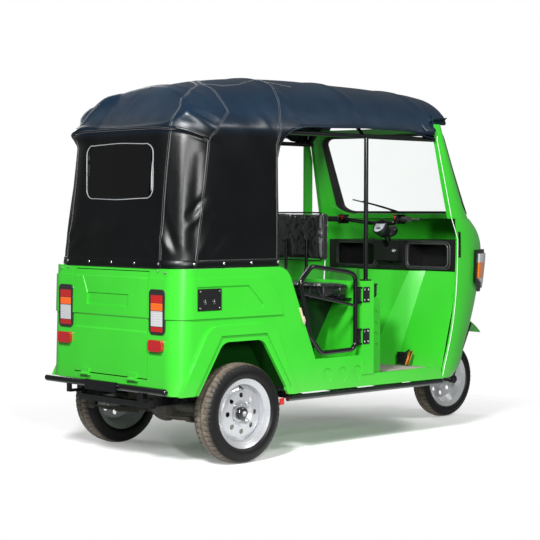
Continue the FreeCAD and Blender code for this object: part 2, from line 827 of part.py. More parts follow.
# Fixed panel that closes the driver's left side up to the belt
side_panel = new_body("side_panel")
panel = sketch_on(side_panel, "XZ_Plane", "panel_outline", -(body_half_width - 2))
polygon(panel, [
    (box_front + 6, cab_sill + gap),
    (pillar_a - 16, cab_sill + gap),
    (pillar_d - 26, level_d),
    (pillar_f - 26, panel_top),
    (box_front + 6, panel_top),
])
feature(side_panel, "Pad", "panel", panel, panel_wall)
rail = sketch_on(side_panel, "XZ_Plane", "panel_rail_outline", -(body_half_width - 2))
rectangle(rail, box_front + 6, panel_top - 24, pillar_f - 26, panel_top)
feature(side_panel, "Pad", "panel_rail", rail, panel_wall + 10)
post = sketch_on(side_panel, "XZ_Plane", "side_post_outline", -(body_half_width - 2))
rectangle(post, side_post_rear, panel_top - 24, side_post_rear + side_post_width, side_post_top)
feature(side_panel, "Pad", "side_post", post, panel_wall)
slant = sketch_on(side_panel, "XZ_Plane", "side_post_slant", -(body_half_width - 2))
polygon(slant, [
    (screen_base_start - screen_return - gap, cowl_top),
    (screen_base_start + 100, cowl_top),
    (screen_base_start + 100, screen_top),
    (screen_top_start - screen_return - gap, screen_top),
])
feature(side_panel, "Pocket", "side_post_slant_cut", slant, panel_wall + 5, reverse=True)

# Partition and driver's seat box

seat_box = new_body("seat_box")
wall = sketch_on(seat_box, "XZ_Plane", "partition_outline")
rectangle(wall, box_rear + gap, floor_top + gap, box_rear + partition_wall, partition_top)
feature(seat_box, "Pad", "partition", wall, (body_half_width + post_proud) * 2, midplane=True)


def post_outline(sketch):
    return rectangle(sketch, box_rear + gap, floor_top + gap, box_front, partition_top)


both_sides(seat_box, "Pad", "post", post_outline, post_inner,
           body_half_width + post_proud - post_inner)
for side, sign in (("right", 1), ("left", -1)):
    notch = sketch_on(seat_box, "XZ_Plane", "notch_" + side,
                      (body_half_width - sill_depth - gap) * sign)
    rectangle(notch, box_rear - 20, floor_top - 20, box_front + 20, cab_sill + gap)
    feature(seat_box, "Pocket", "notch_cut_" + side, notch, 60, reverse=(sign == 1))
chest = sketch_on(seat_box, "XZ_Plane", "box_outline")
rectangle(chest, box_rear + partition_wall / 2, floor_top + gap, seat_box_front, seat_box_top)
feature(seat_box, "Pad", "chest", chest, seat_box_half * 2, midplane=True)
hollow = sketch_on(seat_box, "XY_Plane", "box_hollow", seat_box_top + 5)
rectangle(hollow, box_rear + partition_wall, -(seat_box_half - box_skin),
          seat_box_front - box_skin, seat_box_half - box_skin)
feature(seat_box, "Pocket", "box_inside", hollow, seat_box_top - floor_top - box_skin)


def groove_row(level):
    """Outline of one pressed groove along the side of the seat box."""
    def draw(sketch):
        return rectangle(sketch, box_front + rib_end, level, seat_box_front - rib_end,
                         level + rib_height)
    return draw


for row in range(int(rib_count.value)):
    both_sides(seat_box, "Pocket", "rib_%d" % row, groove_row(rib_low + rib_pitch * row),
               seat_box_half - rib_depth, rib_depth + 1)
for side, sign in (("right", -1), ("left", 1)):
    wing = sketch_on(seat_box, "YZ_Plane", "wing_" + side, box_front - box_skin)
    rectangle(wing, (post_inner - 5) * sign, cab_sill + box_skin,
              (body_half_width + post_proud - box_skin) * sign, partition_top - box_skin)
    feature(seat_box, "Pocket", "wing_cut_" + side, wing,
            box_front - box_skin - box_rear - partition_wall)

# Front cowl: one moulded nose from the sill to the screen, open below for the wheel


def nose_section(height, start, reach, half, inset, back=0.0):
    """Closed wire at one height: a full round nose in plan with straight sides behind it."""
    depth = reach - inset
    width = half - inset
    poles = [
        FreeCAD.Vector(start, -width, height),
        FreeCAD.Vector(start + depth, -width, height),
        FreeCAD.Vector(start + depth, 0, height),
        FreeCAD.Vector(start + depth, width, height),
        FreeCAD.Vector(start, width, height),
    ]
    curve = Part.BSplineCurve()
    curve.buildFromPolesMultsKnots(poles, (3, 2, 3), (0, 0.5, 1), False, 2,
                                   (1, nose_fullness.value, 1, nose_fullness.value, 1))
    rear_right = FreeCAD.Vector(start - back, -width, height)
    rear_left = FreeCAD.Vector(start - back, width, height)
    edges = [curve.toShape()]
    if back > 0:
        edges.append(Part.makeLine(poles[-1], rear_left))
        edges.append(Part.makeLine(rear_left, rear_right))
        edges.append(Part.makeLine(rear_right, poles[0]))
    else:
        edges.append(Part.makeLine(poles[-1], poles[0]))
    return Part.Wire(edges)


cowl_levels = [
    (cowl_low, pillar_a, 0.62),
    (level_b, pillar_b, 0.80),
    (level_c, pillar_c, 0.84),
    (level_d, pillar_d, 0.93),
    (level_e, pillar_e, 1.00),
    (level_f, pillar_f, 0.985),
    (level_g, pillar_g, 0.88),
    (cowl_top, pillar_h, 0.70),
]


def cowl_solid(inset, back=0.0):
    wires = []
    for height, start, share in cowl_levels:
        wires.append(nose_section(number(height), number(start), number(nose_reach) * share,
                                  number(cowl_half), inset, back))
    return Part.makeLoft(wires, True, False)


rake_angle = math.radians(rake.value)
steer_down = FreeCAD.Vector(math.sin(rake_angle), 0, -math.cos(rake_angle))
steer_top = vec(steer_top_x, 0, steer_top_z)


def on_steer(distance):
    """The point of the raked steering axis so far below the handlebar."""
    return steer_top + steer_down * number(distance)


def on_steer_corner(distance, side):
    """A station and height beside the steering axis, the column's room away from it."""
    point = on_steer(distance)
    room = column_hole.value * side
    return point.x - steer_down.z * room, point.z + steer_down.x * room


cowl_outer = cowl_solid(0.0)
cowl_inner = cowl_solid(cowl_wall.value, 90.0)
well = box(well_rear, wheelbase + front_tyre_radius + 200, -well_half, well_half,
           0, well_top)
well_skin = box(well_rear - cowl_wall, wheelbase + front_tyre_radius + 200,
                -(well_half + cowl_wall), well_half + cowl_wall, 0, well_top + cowl_wall)
well_wall = well_skin.common(cowl_outer)
cowl = cowl_outer.cut(cowl_inner).fuse(well_wall).cut(well)
vents = []
for row in range(int(vent_count.value)):
    low = vent_low.value + row * vent_pitch.value
    vents.append(box(cowl_start, 2300, -vent_half, vent_half, low, low + vent_height.value))
cowl = cowl.cut(Part.makeCompound(vents))
cowl = cowl.cut(rod(on_steer(100), on_steer(900), column_hole))
cowl = cowl.removeSplitter()
loose("front_cowl", cowl)

# Screen frame, rubber and glass, cut from one curved upper shell


def screen_solid(inset, back=0.0):
    wires = []
    for share in (0.0, 0.5, 1.0):
        height = (cowl_top + gap).value + (screen_top - cowl_top - gap).value * share
        start = screen_base_start.value * (1 - share) + screen_top_start.value * share
        reach = screen_base_reach.value * (1 - share) + screen_top_reach.value * share
        half = cowl_half.value * (1 - share) + screen_top_half.value * share
        wires.append(nose_section(height, start, reach, half, inset, back))
    return Part.makeLoft(wires, True, False)


def screen_point(y, z, proud):
    """The point of the screen's front at one place across and up, moved out by proud."""
    share = (z - (cowl_top + gap).value) / (screen_top - cowl_top - gap).value
    start = screen_base_start.value * (1 - share) + screen_top_start.value * share
    reach = screen_base_reach.value * (1 - share) + screen_top_reach.value * share + proud
    half = cowl_half.value * (1 - share) + screen_top_half.value * share + proud
    return FreeCAD.Vector(start + reach * math.sqrt(1 - (y / half) ** 2), y, z)


def screen_window(inset, radius):
    """A prism with rounded corners along X, the outline of the glass less the inset."""
    corners = [
        vec(screen_rear, glass_half_low - inset, glass_low + inset),
        vec(screen_rear, -(glass_half_low - inset), glass_low + inset),
        vec(screen_rear, -(glass_half_high - inset), glass_high - inset),
        vec(screen_rear, glass_half_high - inset, glass_high - inset),
    ]
    corners.append(corners[0])
    window = Part.Face(Part.makePolygon(corners)).extrude(FreeCAD.Vector(screen_reach.value, 0, 0))
    edges = [edge for edge in window.Edges if edge.BoundBox.XLength > 800]
    return window.makeFillet(radius, edges)


frame_skin = screen_solid(0.0, screen_return.value).cut(screen_solid(screen_wall.value, 200.0))
screen_frame = frame_skin.cut(screen_window(0.0, 55))
loose("screen_frame", screen_frame)
rubber_skin = screen_solid(-rubber_proud.value).cut(
    screen_solid(glass_thickness.value * 2.4, 200.0))
rubber = rubber_skin.common(screen_window(gap.value, 55)).cut(
    screen_window(rubber_width.value, 40))
loose("screen_rubber", rubber)
glass_skin = screen_solid(2.0).cut(screen_solid(2.0 + glass_thickness.value, 200.0))
loose("windscreen", glass_skin.common(screen_window(rubber_width.value + gap.value, 40)))

# Front bulkhead, sloping from the floor to the instrument shelf

bulkhead = new_body("bulkhead")
slope = sketch_on(bulkhead, "XZ_Plane", "slope_profile")
polygon(slope, [
    (bulkhead_foot, floor_top + gap),
    (bulkhead_foot + bulkhead_skin, floor_top + gap),
    (bulkhead_head + bulkhead_skin, bulkhead_top),
    (bulkhead_head, bulkhead_top),
])
feature(bulkhead, "Pad", "slope", slope, (cowl_half - cowl_wall - gap * 8) * 2, midplane=True)
hump_foot = sketch_on(bulkhead, "XY_Plane", "hump_foot_outline", floor_top + gap)
polygon(hump_foot, [
    (bulkhead_foot + bulkhead_skin / 2, -hump_foot_half),
    (bulkhead_foot + bulkhead_skin / 2, hump_foot_half),
    (bulkhead_foot - hump_depth, hump_foot_ridge),
    (bulkhead_foot - hump_depth, -hump_foot_ridge),
])
hump_head = sketch_on(bulkhead, "XY_Plane", "hump_head_outline", bulkhead_top)
polygon(hump_head, [
    (bulkhead_head + bulkhead_skin / 2, -hump_head_half),
    (bulkhead_head + bulkhead_skin / 2, hump_head_half),
    (bulkhead_head - hump_depth, hump_head_ridge),
    (bulkhead_head - hump_depth, -hump_head_ridge),
])
hump = bulkhead.newObject("PartDesign::AdditiveLoft", "hump")
hump.Profile = hump_foot
hump.Sections = [hump_head]
hump.Ruled = True
bulkhead.Tip = hump
doc.recompute()
groove = sketch_on(bulkhead, "XZ_Plane", "column_groove_sketch")
polygon(groove, [
    on_steer_corner(100, 1),
    on_steer_corner(100, -1),
    on_steer_corner(900, -1),
    on_steer_corner(900, 1),
])
feature(bulkhead, "Pocket", "column_groove", groove, column_hole * 2, midplane=True)

# Instrument shelf with two open glove boxes and the centre console

shelf_block = cowl_solid(cowl_wall.value + gap.value, 90.0).common(
    box(shelf_rear, 2400, -600, 600, shelf_low, shelf_high))
keep = box(shelf_rear, shelf_rear + glove_depth + shelf_skin, -600, 600, shelf_low, shelf_high)
top_skin = box(shelf_rear, 2400, -600, 600, shelf_high - shelf_skin, shelf_high)
dash = shelf_block.common(joined([keep, top_skin]))
pockets = []
for sign in (-1, 1):
    low = min(glove_inner.value * sign, glove_outer.value * sign)
    high = max(glove_inner.value * sign, glove_outer.value * sign)
    pockets.append(box(shelf_rear.value - 5, shelf_rear + glove_depth, low, high,
                       shelf_low + shelf_skin, shelf_high - 20))
console = box(console_rear, shelf_rear + 5, -console_half, console_half,
              shelf_low + 50, shelf_high)
dash = dash.fuse(console).cut(Part.makeCompound(pockets))
dash = dash.cut(rod(on_steer(-50), on_steer(900), column_hole))
loose("dashboard", dash.removeSplitter())

# Hood: one closed fabric skin from the tub's rim over the bows to the screen


def arch_section(station, crown, inset):
    """Cross-section of the hood at one station, less the inset all round."""
    half = hood_eave_half.value - inset
    foot = hood_half.value - inset
    eave = hood_eave.value
    low = belt.value + gap.value
    top = crown - inset
    poles = [
        FreeCAD.Vector(station, -half, eave),
        FreeCAD.Vector(station, -half * arch_shoulder.value, top),
        FreeCAD.Vector(station, 0, top),
        FreeCAD.Vector(station, half * arch_shoulder.value, top),
        FreeCAD.Vector(station, half, eave),
    ]
    curve = Part.BSplineCurve()
    curve.buildFromPolesMultsKnots(poles, (3, 2, 3), (0, 0.5, 1), False, 2)
    bottom_left = FreeCAD.Vector(station, foot, low)
    bottom_right = FreeCAD.Vector(station, -foot, low)
    edges = [curve.toShape(), Part.makeLine(poles[-1], bottom_left),
             Part.makeLine(bottom_left, bottom_right),
             Part.makeLine(bottom_right, poles[0])]
    return Part.Wire(edges)


def prism_y(corners):
    """A block through the whole width with the given outline in side view."""
    points = [vec(x, -700, z) for x, z in corners]
    points.append(points[0])
    return Part.Face(Part.makePolygon(points)).extrude(FreeCAD.Vector(0, 1400, 0))


def hood_plan(height, rear, half, corner, inset):
    """Rounded outline of the hood seen from above at one height."""
    x0 = (rear + inset).value
    y0 = (half - inset).value
    radius = (corner - inset).value
    bend = radius * (1 - math.sqrt(0.5))
    left_start = FreeCAD.Vector(x0 + radius, y0, height)
    left_end = FreeCAD.Vector(x0, y0 - radius, height)
    left_middle = FreeCAD.Vector(x0 + bend, y0 - bend, height)
    right_start = FreeCAD.Vector(x0, -(y0 - radius), height)
    right_middle = FreeCAD.Vector(x0 + bend, -(y0 - bend), height)
    right_end = FreeCAD.Vector(x0 + radius, -y0, height)
    front_right = FreeCAD.Vector(2000, -y0, height)
    front_left = FreeCAD.Vector(2000, y0, height)
    return Part.Wire([
        Part.makeLine(front_left, left_start),
        Part.Arc(left_start, left_middle, left_end).toShape(),
        Part.makeLine(left_end, right_start),
        Part.Arc(right_start, right_middle, right_end).toShape(),
        Part.makeLine(right_end, front_right),
        Part.makeLine(front_right, front_left),
    ])


def hood_solid(inset):
    stations = [(-440, -62), (-60, -62), (200, -22), (500, 0), (1000, 0), (1300, -20), (1700, -74)]
    wires = [arch_section(station, hood_crown.value + drop, inset) for station, drop in stations]
    solid = Part.makeLoft(wires, True, False)
    side = prism_y([
        (hood_rear_low + inset, belt - 300),
        (hood_rear_low + inset, belt),
        (hood_rear_high + inset, hood_eave - 12),
        (hood_slope_x + inset, hood_slope_z),
        (hood_slope_x + 110 + inset, hood_slope_z + 120),
        (1700, 2200),
        (1700, belt - 300),
    ])
    plan = Part.makeLoft([
        hood_plan(belt.value, hood_rear_low, hood_half, hood_corner_low, inset),
        hood_plan(hood_eave.value, hood_rear_high, hood_eave_half + 3, hood_corner_high, inset),
        hood_plan(2000.0, hood_rear_high, hood_eave_half + 3, hood_corner_high + 30, inset),
    ], True, True)
    front_wire = nose_section(0.0, roof_front.value, roof_front_reach.value - inset,
                              620.0, 0.0, 2200.0)
    front = Part.Face(front_wire).extrude(FreeCAD.Vector(0, 0, 2300))
    return solid.common(side).common(plan).common(front)


hood_outer = hood_solid(0.0)
hood_inner = hood_solid(hood_wall.value)
hood = hood_outer.cut(hood_inner)
hood = hood.cut(box(-700, 1900, -700, 700, 500, belt + gap))
door_cut = prism_y([
    (hood_front + 7, belt - 100),
    (hood_front + 7, 1500),
    (hood_front + 24, 1560),
    (hood_front + 62, 1612),
    (hood_front + 122, 1648),
    (hood_front + 212, 1668),
    (900, 1680),
    (1200, 1672),
    (door_hood_front - 60, 1656),
    (door_hood_front, 1650),
    (door_hood_front, 1500),
    (2200, 1500),
    (2200, belt - 100),
])
hood = hood.cut(door_cut)
hood = hood.cut(box(door_hood_front, 2200, -700, 700, 1400, screen_top + gap + 10))
hood = hood.cut(screen_solid(-gap.value, (screen_return + gap).value))
window_hole = box(-700, -200, -window_half, window_half, window_low, window_high)
window_hole = window_hole.makeFillet(window_corner.value, [
    edge for edge in window_hole.Edges if edge.BoundBox.XLength > 400])
hood = hood.cut(window_hole)
loose("hood", hood)
film_plug = box(-700, -200, -(window_half - gap), window_half - gap, window_low + gap,
                window_high - gap)
film_plug = film_plug.makeFillet(window_corner.value, [
    edge for edge in film_plug.Edges if edge.BoundBox.XLength > 400])
film = hood_outer.cut(hood_inner).common(film_plug)
loose("window_film", film)

# Roof frame: pillars behind the driver, one U-shaped rail, bows and rear stays
tub_shape = tub.Shape.copy()
tub_shape.translate(vec(-axle_x.value, 0, 0))


def bow(station, crown):
    """A roof bow bent from one round bar, standing on the two side rails."""
    top = crown - bow_drop.value
    low = rail_height.value
    half = rail_half.value
    rise = top - low
    return tube([
        FreeCAD.Vector(station, -half, low),
        FreeCAD.Vector(station, -half * 0.62, low + rise * 0.66),
        FreeCAD.Vector(station, 0, top),
        FreeCAD.Vector(station, half * 0.62, low + rise * 0.66),
        FreeCAD.Vector(station, half, low),
    ], 150, frame_tube * 0.8)


frame = [tube([
    vec(rail_end, rail_half, rail_height),
    vec(rail_back, rail_half, rail_height),
    vec(rail_back, -rail_half, rail_height),
    vec(rail_end, -rail_half, rail_height),
], rail_corner.value, frame_tube)]
for sign in (-1, 1):
    frame.append(rod(vec(pillar_x, rail_half * sign, partition_top + gap),
                     vec(pillar_x, rail_half * sign, rail_height), frame_tube))
    frame.append(rod(vec(-356, stay_half * sign, belt - 60),
                     vec(-252, stay_half * sign, rail_height), frame_tube))
    frame.append(box(pillar_x - 22, pillar_x + 22, rail_half.value * sign - 22,
                     rail_half.value * sign + 22, partition_top + gap, partition_top + 6))
for station, drop in ((-100, -66), (400, -8), (903, 0), (1440, -40)):
    frame.append(bow(station, hood_crown.value + drop))
loose("roof_frame", joined(frame).cut(screen_frame).cut(tub_shape))

# Chassis: two long rails, cross members, side tubes and the steering head

parts = []
for sign in (-1, 1):
    inner = (rail_y.value - rail_wide.value / 2) * sign
    outer = (rail_y.value + rail_wide.value / 2) * sign
    parts.append(box(rail_rear, rail_front, min(inner, outer), max(inner, outer),
                     rail_low, rail_high))
    parts.append(rod(vec(330, side_tube_y * sign, side_tube_z),
                     vec(1525, side_tube_y * sign, side_tube_z), side_tube_radius))
    parts.append(rod(vec(rail_front - 30, rail_y * sign, rail_high - 18), on_steer(420), 18))
    parts.append(rod(vec(rail_front - 100, rail_y * sign, rail_high - 18), on_steer(300), 16))
for station in (-377, 420, 830, 1180, 1480):
    reach = side_tube_y.value if station > 300 else rail_y.value
    parts.append(box(station - 18, station + 18, -reach, reach, 280, 310))
head = rod(on_steer(head_start), on_steer(head_end), head_radius)
chassis = joined(parts + [head])
chassis = chassis.cut(rod(on_steer(0), on_steer(900), steerer_radius + steer_play))
loose("chassis", chassis)

# Rear bumper tube on two brackets, with the blank number plate bracket
bumper = [rod(vec(bumper_x, -bumper_half, bumper_z), vec(bumper_x, bumper_half, bumper_z),
              bumper_radius)]
for sign in (-1, 1):
    bumper.append(Part.makeSphere(bumper_radius.value,
                                  vec(bumper_x, bumper_half * sign, bumper_z)))
    bumper.append(box(bumper_x, rail_rear - gap, rail_y.value * sign - 15,
                      rail_y.value * sign + 15, 322, 334))
    bumper.append(box(bumper_x - 6, bumper_x + 6, rail_y.value * sign - 15,
                      rail_y.value * sign + 15, 322, 380))
bumper.append(box(bumper_x - 24, bumper_x - 18 + 6, -125, 125, 352, 402))
loose("rear_bumper", joined(bumper))

# Lamps, reflectors and the charging plate


def rear_block(rear, half, low, high, corner):
    """Two blocks with rounded corners on the rear wall, one on each side."""
    blocks = []
    for sign in (-1, 1):
        block = box(rear, tub_rear_high + lamp_sunk, lamp_y.value * sign - half.value,
                    lamp_y.value * sign + half.value, low, high)
        along = [edge for edge in block.Edges if edge.BoundBox.XLength > 1]
        blocks.append(block.makeFillet(corner.value, along).cut(tub_shape))
    return blocks


lamps = rear_block(tub_rear_high - lamp_depth, lamp_half, lamp_low, lamp_high, lamp_corner)
mirrors = rear_block(tub_rear_low - mirror_depth, mirror_half, mirror_low, mirror_high,
                     mirror_corner)

# Head lamps: a faceted housing wrapped round each cheek of the nose, with one clear lens


def cheek(inner_proud, outer_proud, margin):
    """Both lamp blocks between two offsets of the nose, the outline less the margin."""
    skin = cowl_solid(-outer_proud).cut(cowl_solid(-inner_proud))
    outline = prism_y([
        (lamp_rear + margin, lamp_low_rear + margin),
        (lamp_rear + margin, lamp_top - margin),
        (lamp_rear + 190, lamp_top - margin),
        (lamp_rear + 420, lamp_top - 40 - margin),
        (lamp_rear + 420, lamp_low_rear - 10 + margin),
        (lamp_rear + 165, lamp_bottom + margin),
    ])
    blocks = []
    for sign in (-1, 1):
        low = min((lamp_inner + margin).value * sign, 620 * sign)
        high = max((lamp_inner + margin).value * sign, 620 * sign)
        blocks.append(skin.common(outline).common(box(1500, 2500, low, high, 600, 1200)))
    return blocks


housings = cheek(gap.value, lamp_housing_proud.value, 0.0)
loose("headlamps", Part.makeCompound(housings))
lenses = cheek(lamp_housing_proud.value + gap.value, lamp_lens_proud.value, lamp_margin.value)
loose("lamp_lenses", Part.makeCompound(lenses + lamps + mirrors))

plate_seat = body_half_width + band_proud - recess_depth + gap
plate = box(plate_rear, plate_front, -(plate_seat + plate_thickness), -plate_seat,
            plate_low, plate_high)
loose("charge_plate", plate)

# Rear axle with its housing and motor, on leaf springs
axle_z = rear_tyre_radius
axle = [rod(vec(0, -hub_face, axle_z), vec(0, hub_face, axle_z), axle_tube)]
case = Part.makeSphere(case_radius.value, vec(0, 60, axle_z))
axle.append(case)
axle.append(rod(vec(0, 60, axle_z), vec(250, 60, axle_z - 8), motor_radius))
for sign in (-1, 1):
    axle.append(rod(vec(0, (hub_face.value - 10) * sign, axle_z),
                    vec(0, (hub_face.value + 8) * sign, axle_z), 62))
loose("rear_axle", joined(axle))

springs = []
for sign in (-1, 1):
    y0 = spring_y.value * sign - 24
    y1 = spring_y.value * sign + 24
    for leaf, length in enumerate((330, 240, 150)):
        drop = axle_z.value - axle_tube.value - gap.value - leaf * 9
        arc = Part.Arc(vec(-length, 0, drop + 34 * (length / 330) ** 2), vec(0, 0, drop),
                       vec(length, 0, drop + 34 * (length / 330) ** 2)).toShape()
        strip = Part.Wire([arc])
        face = strip.extrude(vec(0, 48, 0))
        solid = face.extrude(vec(0, 0, -8.9))
        solid.translate(vec(0, y0, 0))
        springs.append(solid)
    for end in (-1, 1):
        springs.append(box(end * 318 - 8, end * 318 + 8, y0 + 8, y1 - 8, 228, rail_low.value - 0.3))
        springs.append(box(end * 44 - 6, end * 44 + 6, y0 - 12, y1 + 12, 180, 290))
loose("leaf_springs", joined(springs))

battery = box(-180, 120, -300, 300, deck_top + gap, bench_low - gap)
loose("battery", battery)


# Wheels
def tyre(name, radius, width, rim, x, y):
    """A tyre turned about Y, with rounded shoulders and an inner bead."""
    body = new_body(name, x, y, radius)
    sketch = sketch_on(body, "YZ_Plane", name + "_profile")
    polygon(sketch, [
        (-(width * 0.35), rim + gap),
        (-(width * 0.5), (radius + rim) / 2),
        (-(width * 0.45), radius - 12),
        (-(width * 0.34), radius - 2),
        (0, radius),
        (width * 0.34, radius - 2),
        (width * 0.45, radius - 12),
        (width * 0.5, (radius + rim) / 2),
        (width * 0.35, rim + gap),
        (width * 0.31, radius - 20),
        (-(width * 0.31), radius - 20),
    ])
    revolve(body, name + "_ring", sketch)
    return body


def wheel(name, rim, width, x, y, z, disc, hub, bore, sign):
    """A pressed steel wheel: rim, dished disc with round holes and a hub cap."""
    body = new_body(name, x, y, z)
    sketch = sketch_on(body, "YZ_Plane", name + "_profile")
    s = sign
    polygon(sketch, [
        (width * 0.5 * s, rim + 4),
        (width * 0.44 * s, rim - 7),
        (width * 0.36 * s, rim - 24),
        (width * 0.1 * s, rim - 28),
        (disc * s, rim - 50),
        ((disc + 8) * s, hub + 32),
        ((disc - 12) * s, hub + 12),
        ((disc - 10) * s, hub),
        ((disc + 6) * s, hub - 6),
        ((disc + 6) * s, bore),
        ((disc - 34) * s, bore),
        ((disc - 34) * s, hub),
        ((disc - 16) * s, hub + 16),
        ((disc + 3) * s, hub + 34),
        ((disc - 5) * s, rim - 48),
        (-(width * 0.36 * s), rim - 24),
        (-(width * 0.5 * s), rim + 4),
        (-(width * 0.46 * s), rim),
        (-(width * 0.34 * s), rim),
        (-(width * 0.3 * s), rim - 19),
        (width * 0.32 * s, rim - 19),
        (width * 0.35 * s, rim),
        (width * 0.46 * s, rim),
    ])
    revolve(body, name + "_pressing", sketch)
    hole = sketch_on(body, "XZ_Plane", name + "_hole_sketch")
    circle(hole, 0, hub + 55, 13)
    holes = feature(body, "Pocket", name + "_hole", hole, width * 2, midplane=True)
    pattern = body.newObject("PartDesign::PolarPattern", name + "_holes")
    pattern.Originals = [holes]
    pattern.Axis = (hole, ["N_Axis"])
    pattern.Angle = 360
    pattern.Occurrences = 8
    body.Tip = pattern
    doc.recompute()
    return body


for name, sign in (("rear_left", 1), ("rear_right", -1)):
    tyre("tyre_" + name, rear_tyre_radius, rear_tyre_width, rear_rim_radius, 0, half_track * sign)
    wheel("wheel_" + name, rear_rim_radius, rear_rim_width, 0, half_track * sign,
          rear_tyre_radius, disc_face, hub_radius, spindle + spin_play, sign)
tyre("tyre_front", front_tyre_radius, front_tyre_width, front_rim_radius, wheelbase, 0)
wheel("wheel_front", front_rim_radius, front_rim_width, wheelbase, 0,
      front_tyre_radius, as_size(14), hub_radius, spindle + spin_play, 1)

# Stub spindles on the rear axle
stubs = []
axle_thing = [thing for thing in nodes if thing.Label == "rear_axle"][0]
for sign in (-1, 1):
    stubs.append(rod(vec(0, (hub_face.value - 20) * sign, axle_z),
                     vec(0, stub_length.value * sign, axle_z), spindle))
axle_thing.Shape = joined([joined(axle)] + stubs)

# Fork, links and front spindle, turning about the raked steering axis
front_axle = vec(wheelbase, 0, front_tyre_radius)
fork = [rod(on_steer(20), on_steer(crown_distance), steerer_radius)]
side = FreeCAD.Vector(0, 1, 0)
fork.append(rod(on_steer(crown_distance) - side * (fork_y.value + 12),
                on_steer(crown_distance) + side * (fork_y.value + 12), 22))
for sign in (-1, 1):
    offset = side * (fork_y.value * sign)
    fork.append(rod(on_steer(crown_distance) + offset, on_steer(leg_end) + offset, fork_leg))
    fork.append(rod(on_steer(leg_end) + offset, front_axle + offset, 12))
    fork.append(rod(front_axle + side * ((fork_y.value - 14) * sign),
                    front_axle + side * ((fork_y.value + 14) * sign), 24))
    fork.append(rod(on_steer(guard_stay) + offset,
                    on_steer(guard_stay) + side * ((guard_half.value - 14) * sign), 9))
    fork.append(rod(front_axle + offset, vec(wheelbase + 190, (guard_half - 8) * sign,
                                             front_tyre_radius + 330), 5))
fork.append(rod(front_axle - side * fork_y.value, front_axle + side * fork_y.value, spindle))
loose("fork", joined(fork))

# Front mudguard over the wheel
ring = Part.makeCylinder(guard_radius.value, guard_half.value * 2,
                         front_axle - side * guard_half.value, side)
core = Part.makeCylinder(guard_radius.value - guard_skin.value, guard_half.value * 2 + 2,
                         front_axle - side * (guard_half.value + 1), side)
window = prism_y([
    (wheelbase, front_tyre_radius),
    (wheelbase + 440, front_tyre_radius + 440),
    (wheelbase, front_tyre_radius + 600),
    (wheelbase - 440, front_tyre_radius + 440),
    (wheelbase - 440, front_tyre_radius + 420),
])
guard = ring.cut(core).common(window)
loose("mudguard", guard.cut(rod(on_steer(0), on_steer(leg_end), 40)).cut(joined(fork)))

# Handlebar, grips and instrument pod
bar = [tube([
    vec(1432, -bar_half, 1195),
    vec(1478, -215, 1195),
    vec(1572, -95, 1172),
    vec(1572, 95, 1172),
    vec(1478, 215, 1195),
    vec(1432, bar_half, 1195),
], 40, bar_radius)]
bar.append(rod(on_steer(-40), on_steer(20) - steer_down * gap.value, 24))
bar.append(box(1560, 1600, -30, 30, 1150, 1186))
loose("handlebar", joined(bar))
grips = []
for sign in (-1, 1):
    inner = vec(1478, 215 * sign, 1195)
    outer = vec(1432, bar_half * sign, 1195)
    run = outer - inner
    start = inner + run * 0.22
    sleeve = rod(start, outer + run.normalize() * 6, grip_radius)
    cut = rod(start - run * 0, outer, bar_radius + gap)
    grips.append(sleeve.cut(cut))
loose("grips", Part.makeCompound(grips))
pod = Part.makeCylinder(pod_radius.value, 56, on_steer(36) + FreeCAD.Vector(40, 0, 0),
                        steer_down * -1)
loose("instrument", pod.cut(joined(bar)).cut(rod(on_steer(0), on_steer(200),
                                                 steerer_radius + gap)))


# Tube doors


def door_frame(sign):
    y = number(door_y) * sign
    loop = [
        vec(480, y, 958), vec(396, y, 880), vec(470, y, 600), vec(552, y, 510),
        vec(door_front, y, 516), vec(door_front, y, 905), vec(740, y, 925),
    ]
    pieces = [tube(loop, door_bend, door_tube, True)]
    pieces.append(rod(vec(414, y, 820), vec(door_front, y, 745), 8))
    for height in (580, 800):
        pieces.append(rod(vec(door_front, y, height), vec(door_hinge_x, y, height), 7))
        sleeve = rod(vec(door_hinge_x, y, height - 30), vec(door_hinge_x, y, height + 30), 11)
        pieces.append(sleeve)
    whole = joined(pieces)
    return whole.cut(rod(vec(door_hinge_x, y, 480), vec(door_hinge_x, y, 900), 6.4))


def door_posts(sign):
    y = number(door_y) * sign
    pieces = []
    for height in (580, 800):
        pieces.append(rod(vec(door_hinge_x, y, height - 42), vec(door_hinge_x, y, height + 42), 6))
        for step in (-1, 1):
            pieces.append(box(door_hinge_x - 9, box_rear + gap + 0, y - 9, y + 9,
                              height + step * 38 - 5, height + step * 38 + 5))
    return joined(pieces)


loose("door_right", door_frame(-1))
loose("door_left", door_frame(1))
loose("door_hinges", Part.makeCompound([door_posts(-1), door_posts(1)]))

# Seats


def cushion(name, x0, x1, half, z0, z1):
    body = new_body(name)
    plan = sketch_on(body, "XY_Plane", name + "_plan", z0)
    rectangle(plan, x0, -half, x1, half)
    feature(body, "Pad", name + "_pad", plan, z1 - z0)
    round_edges(body, name + "_round", cushion_round, lambda edge: (
        edge.BoundBox.ZLength > (z1 - z0).value - 1 and edge.BoundBox.XLength < 1))
    return body


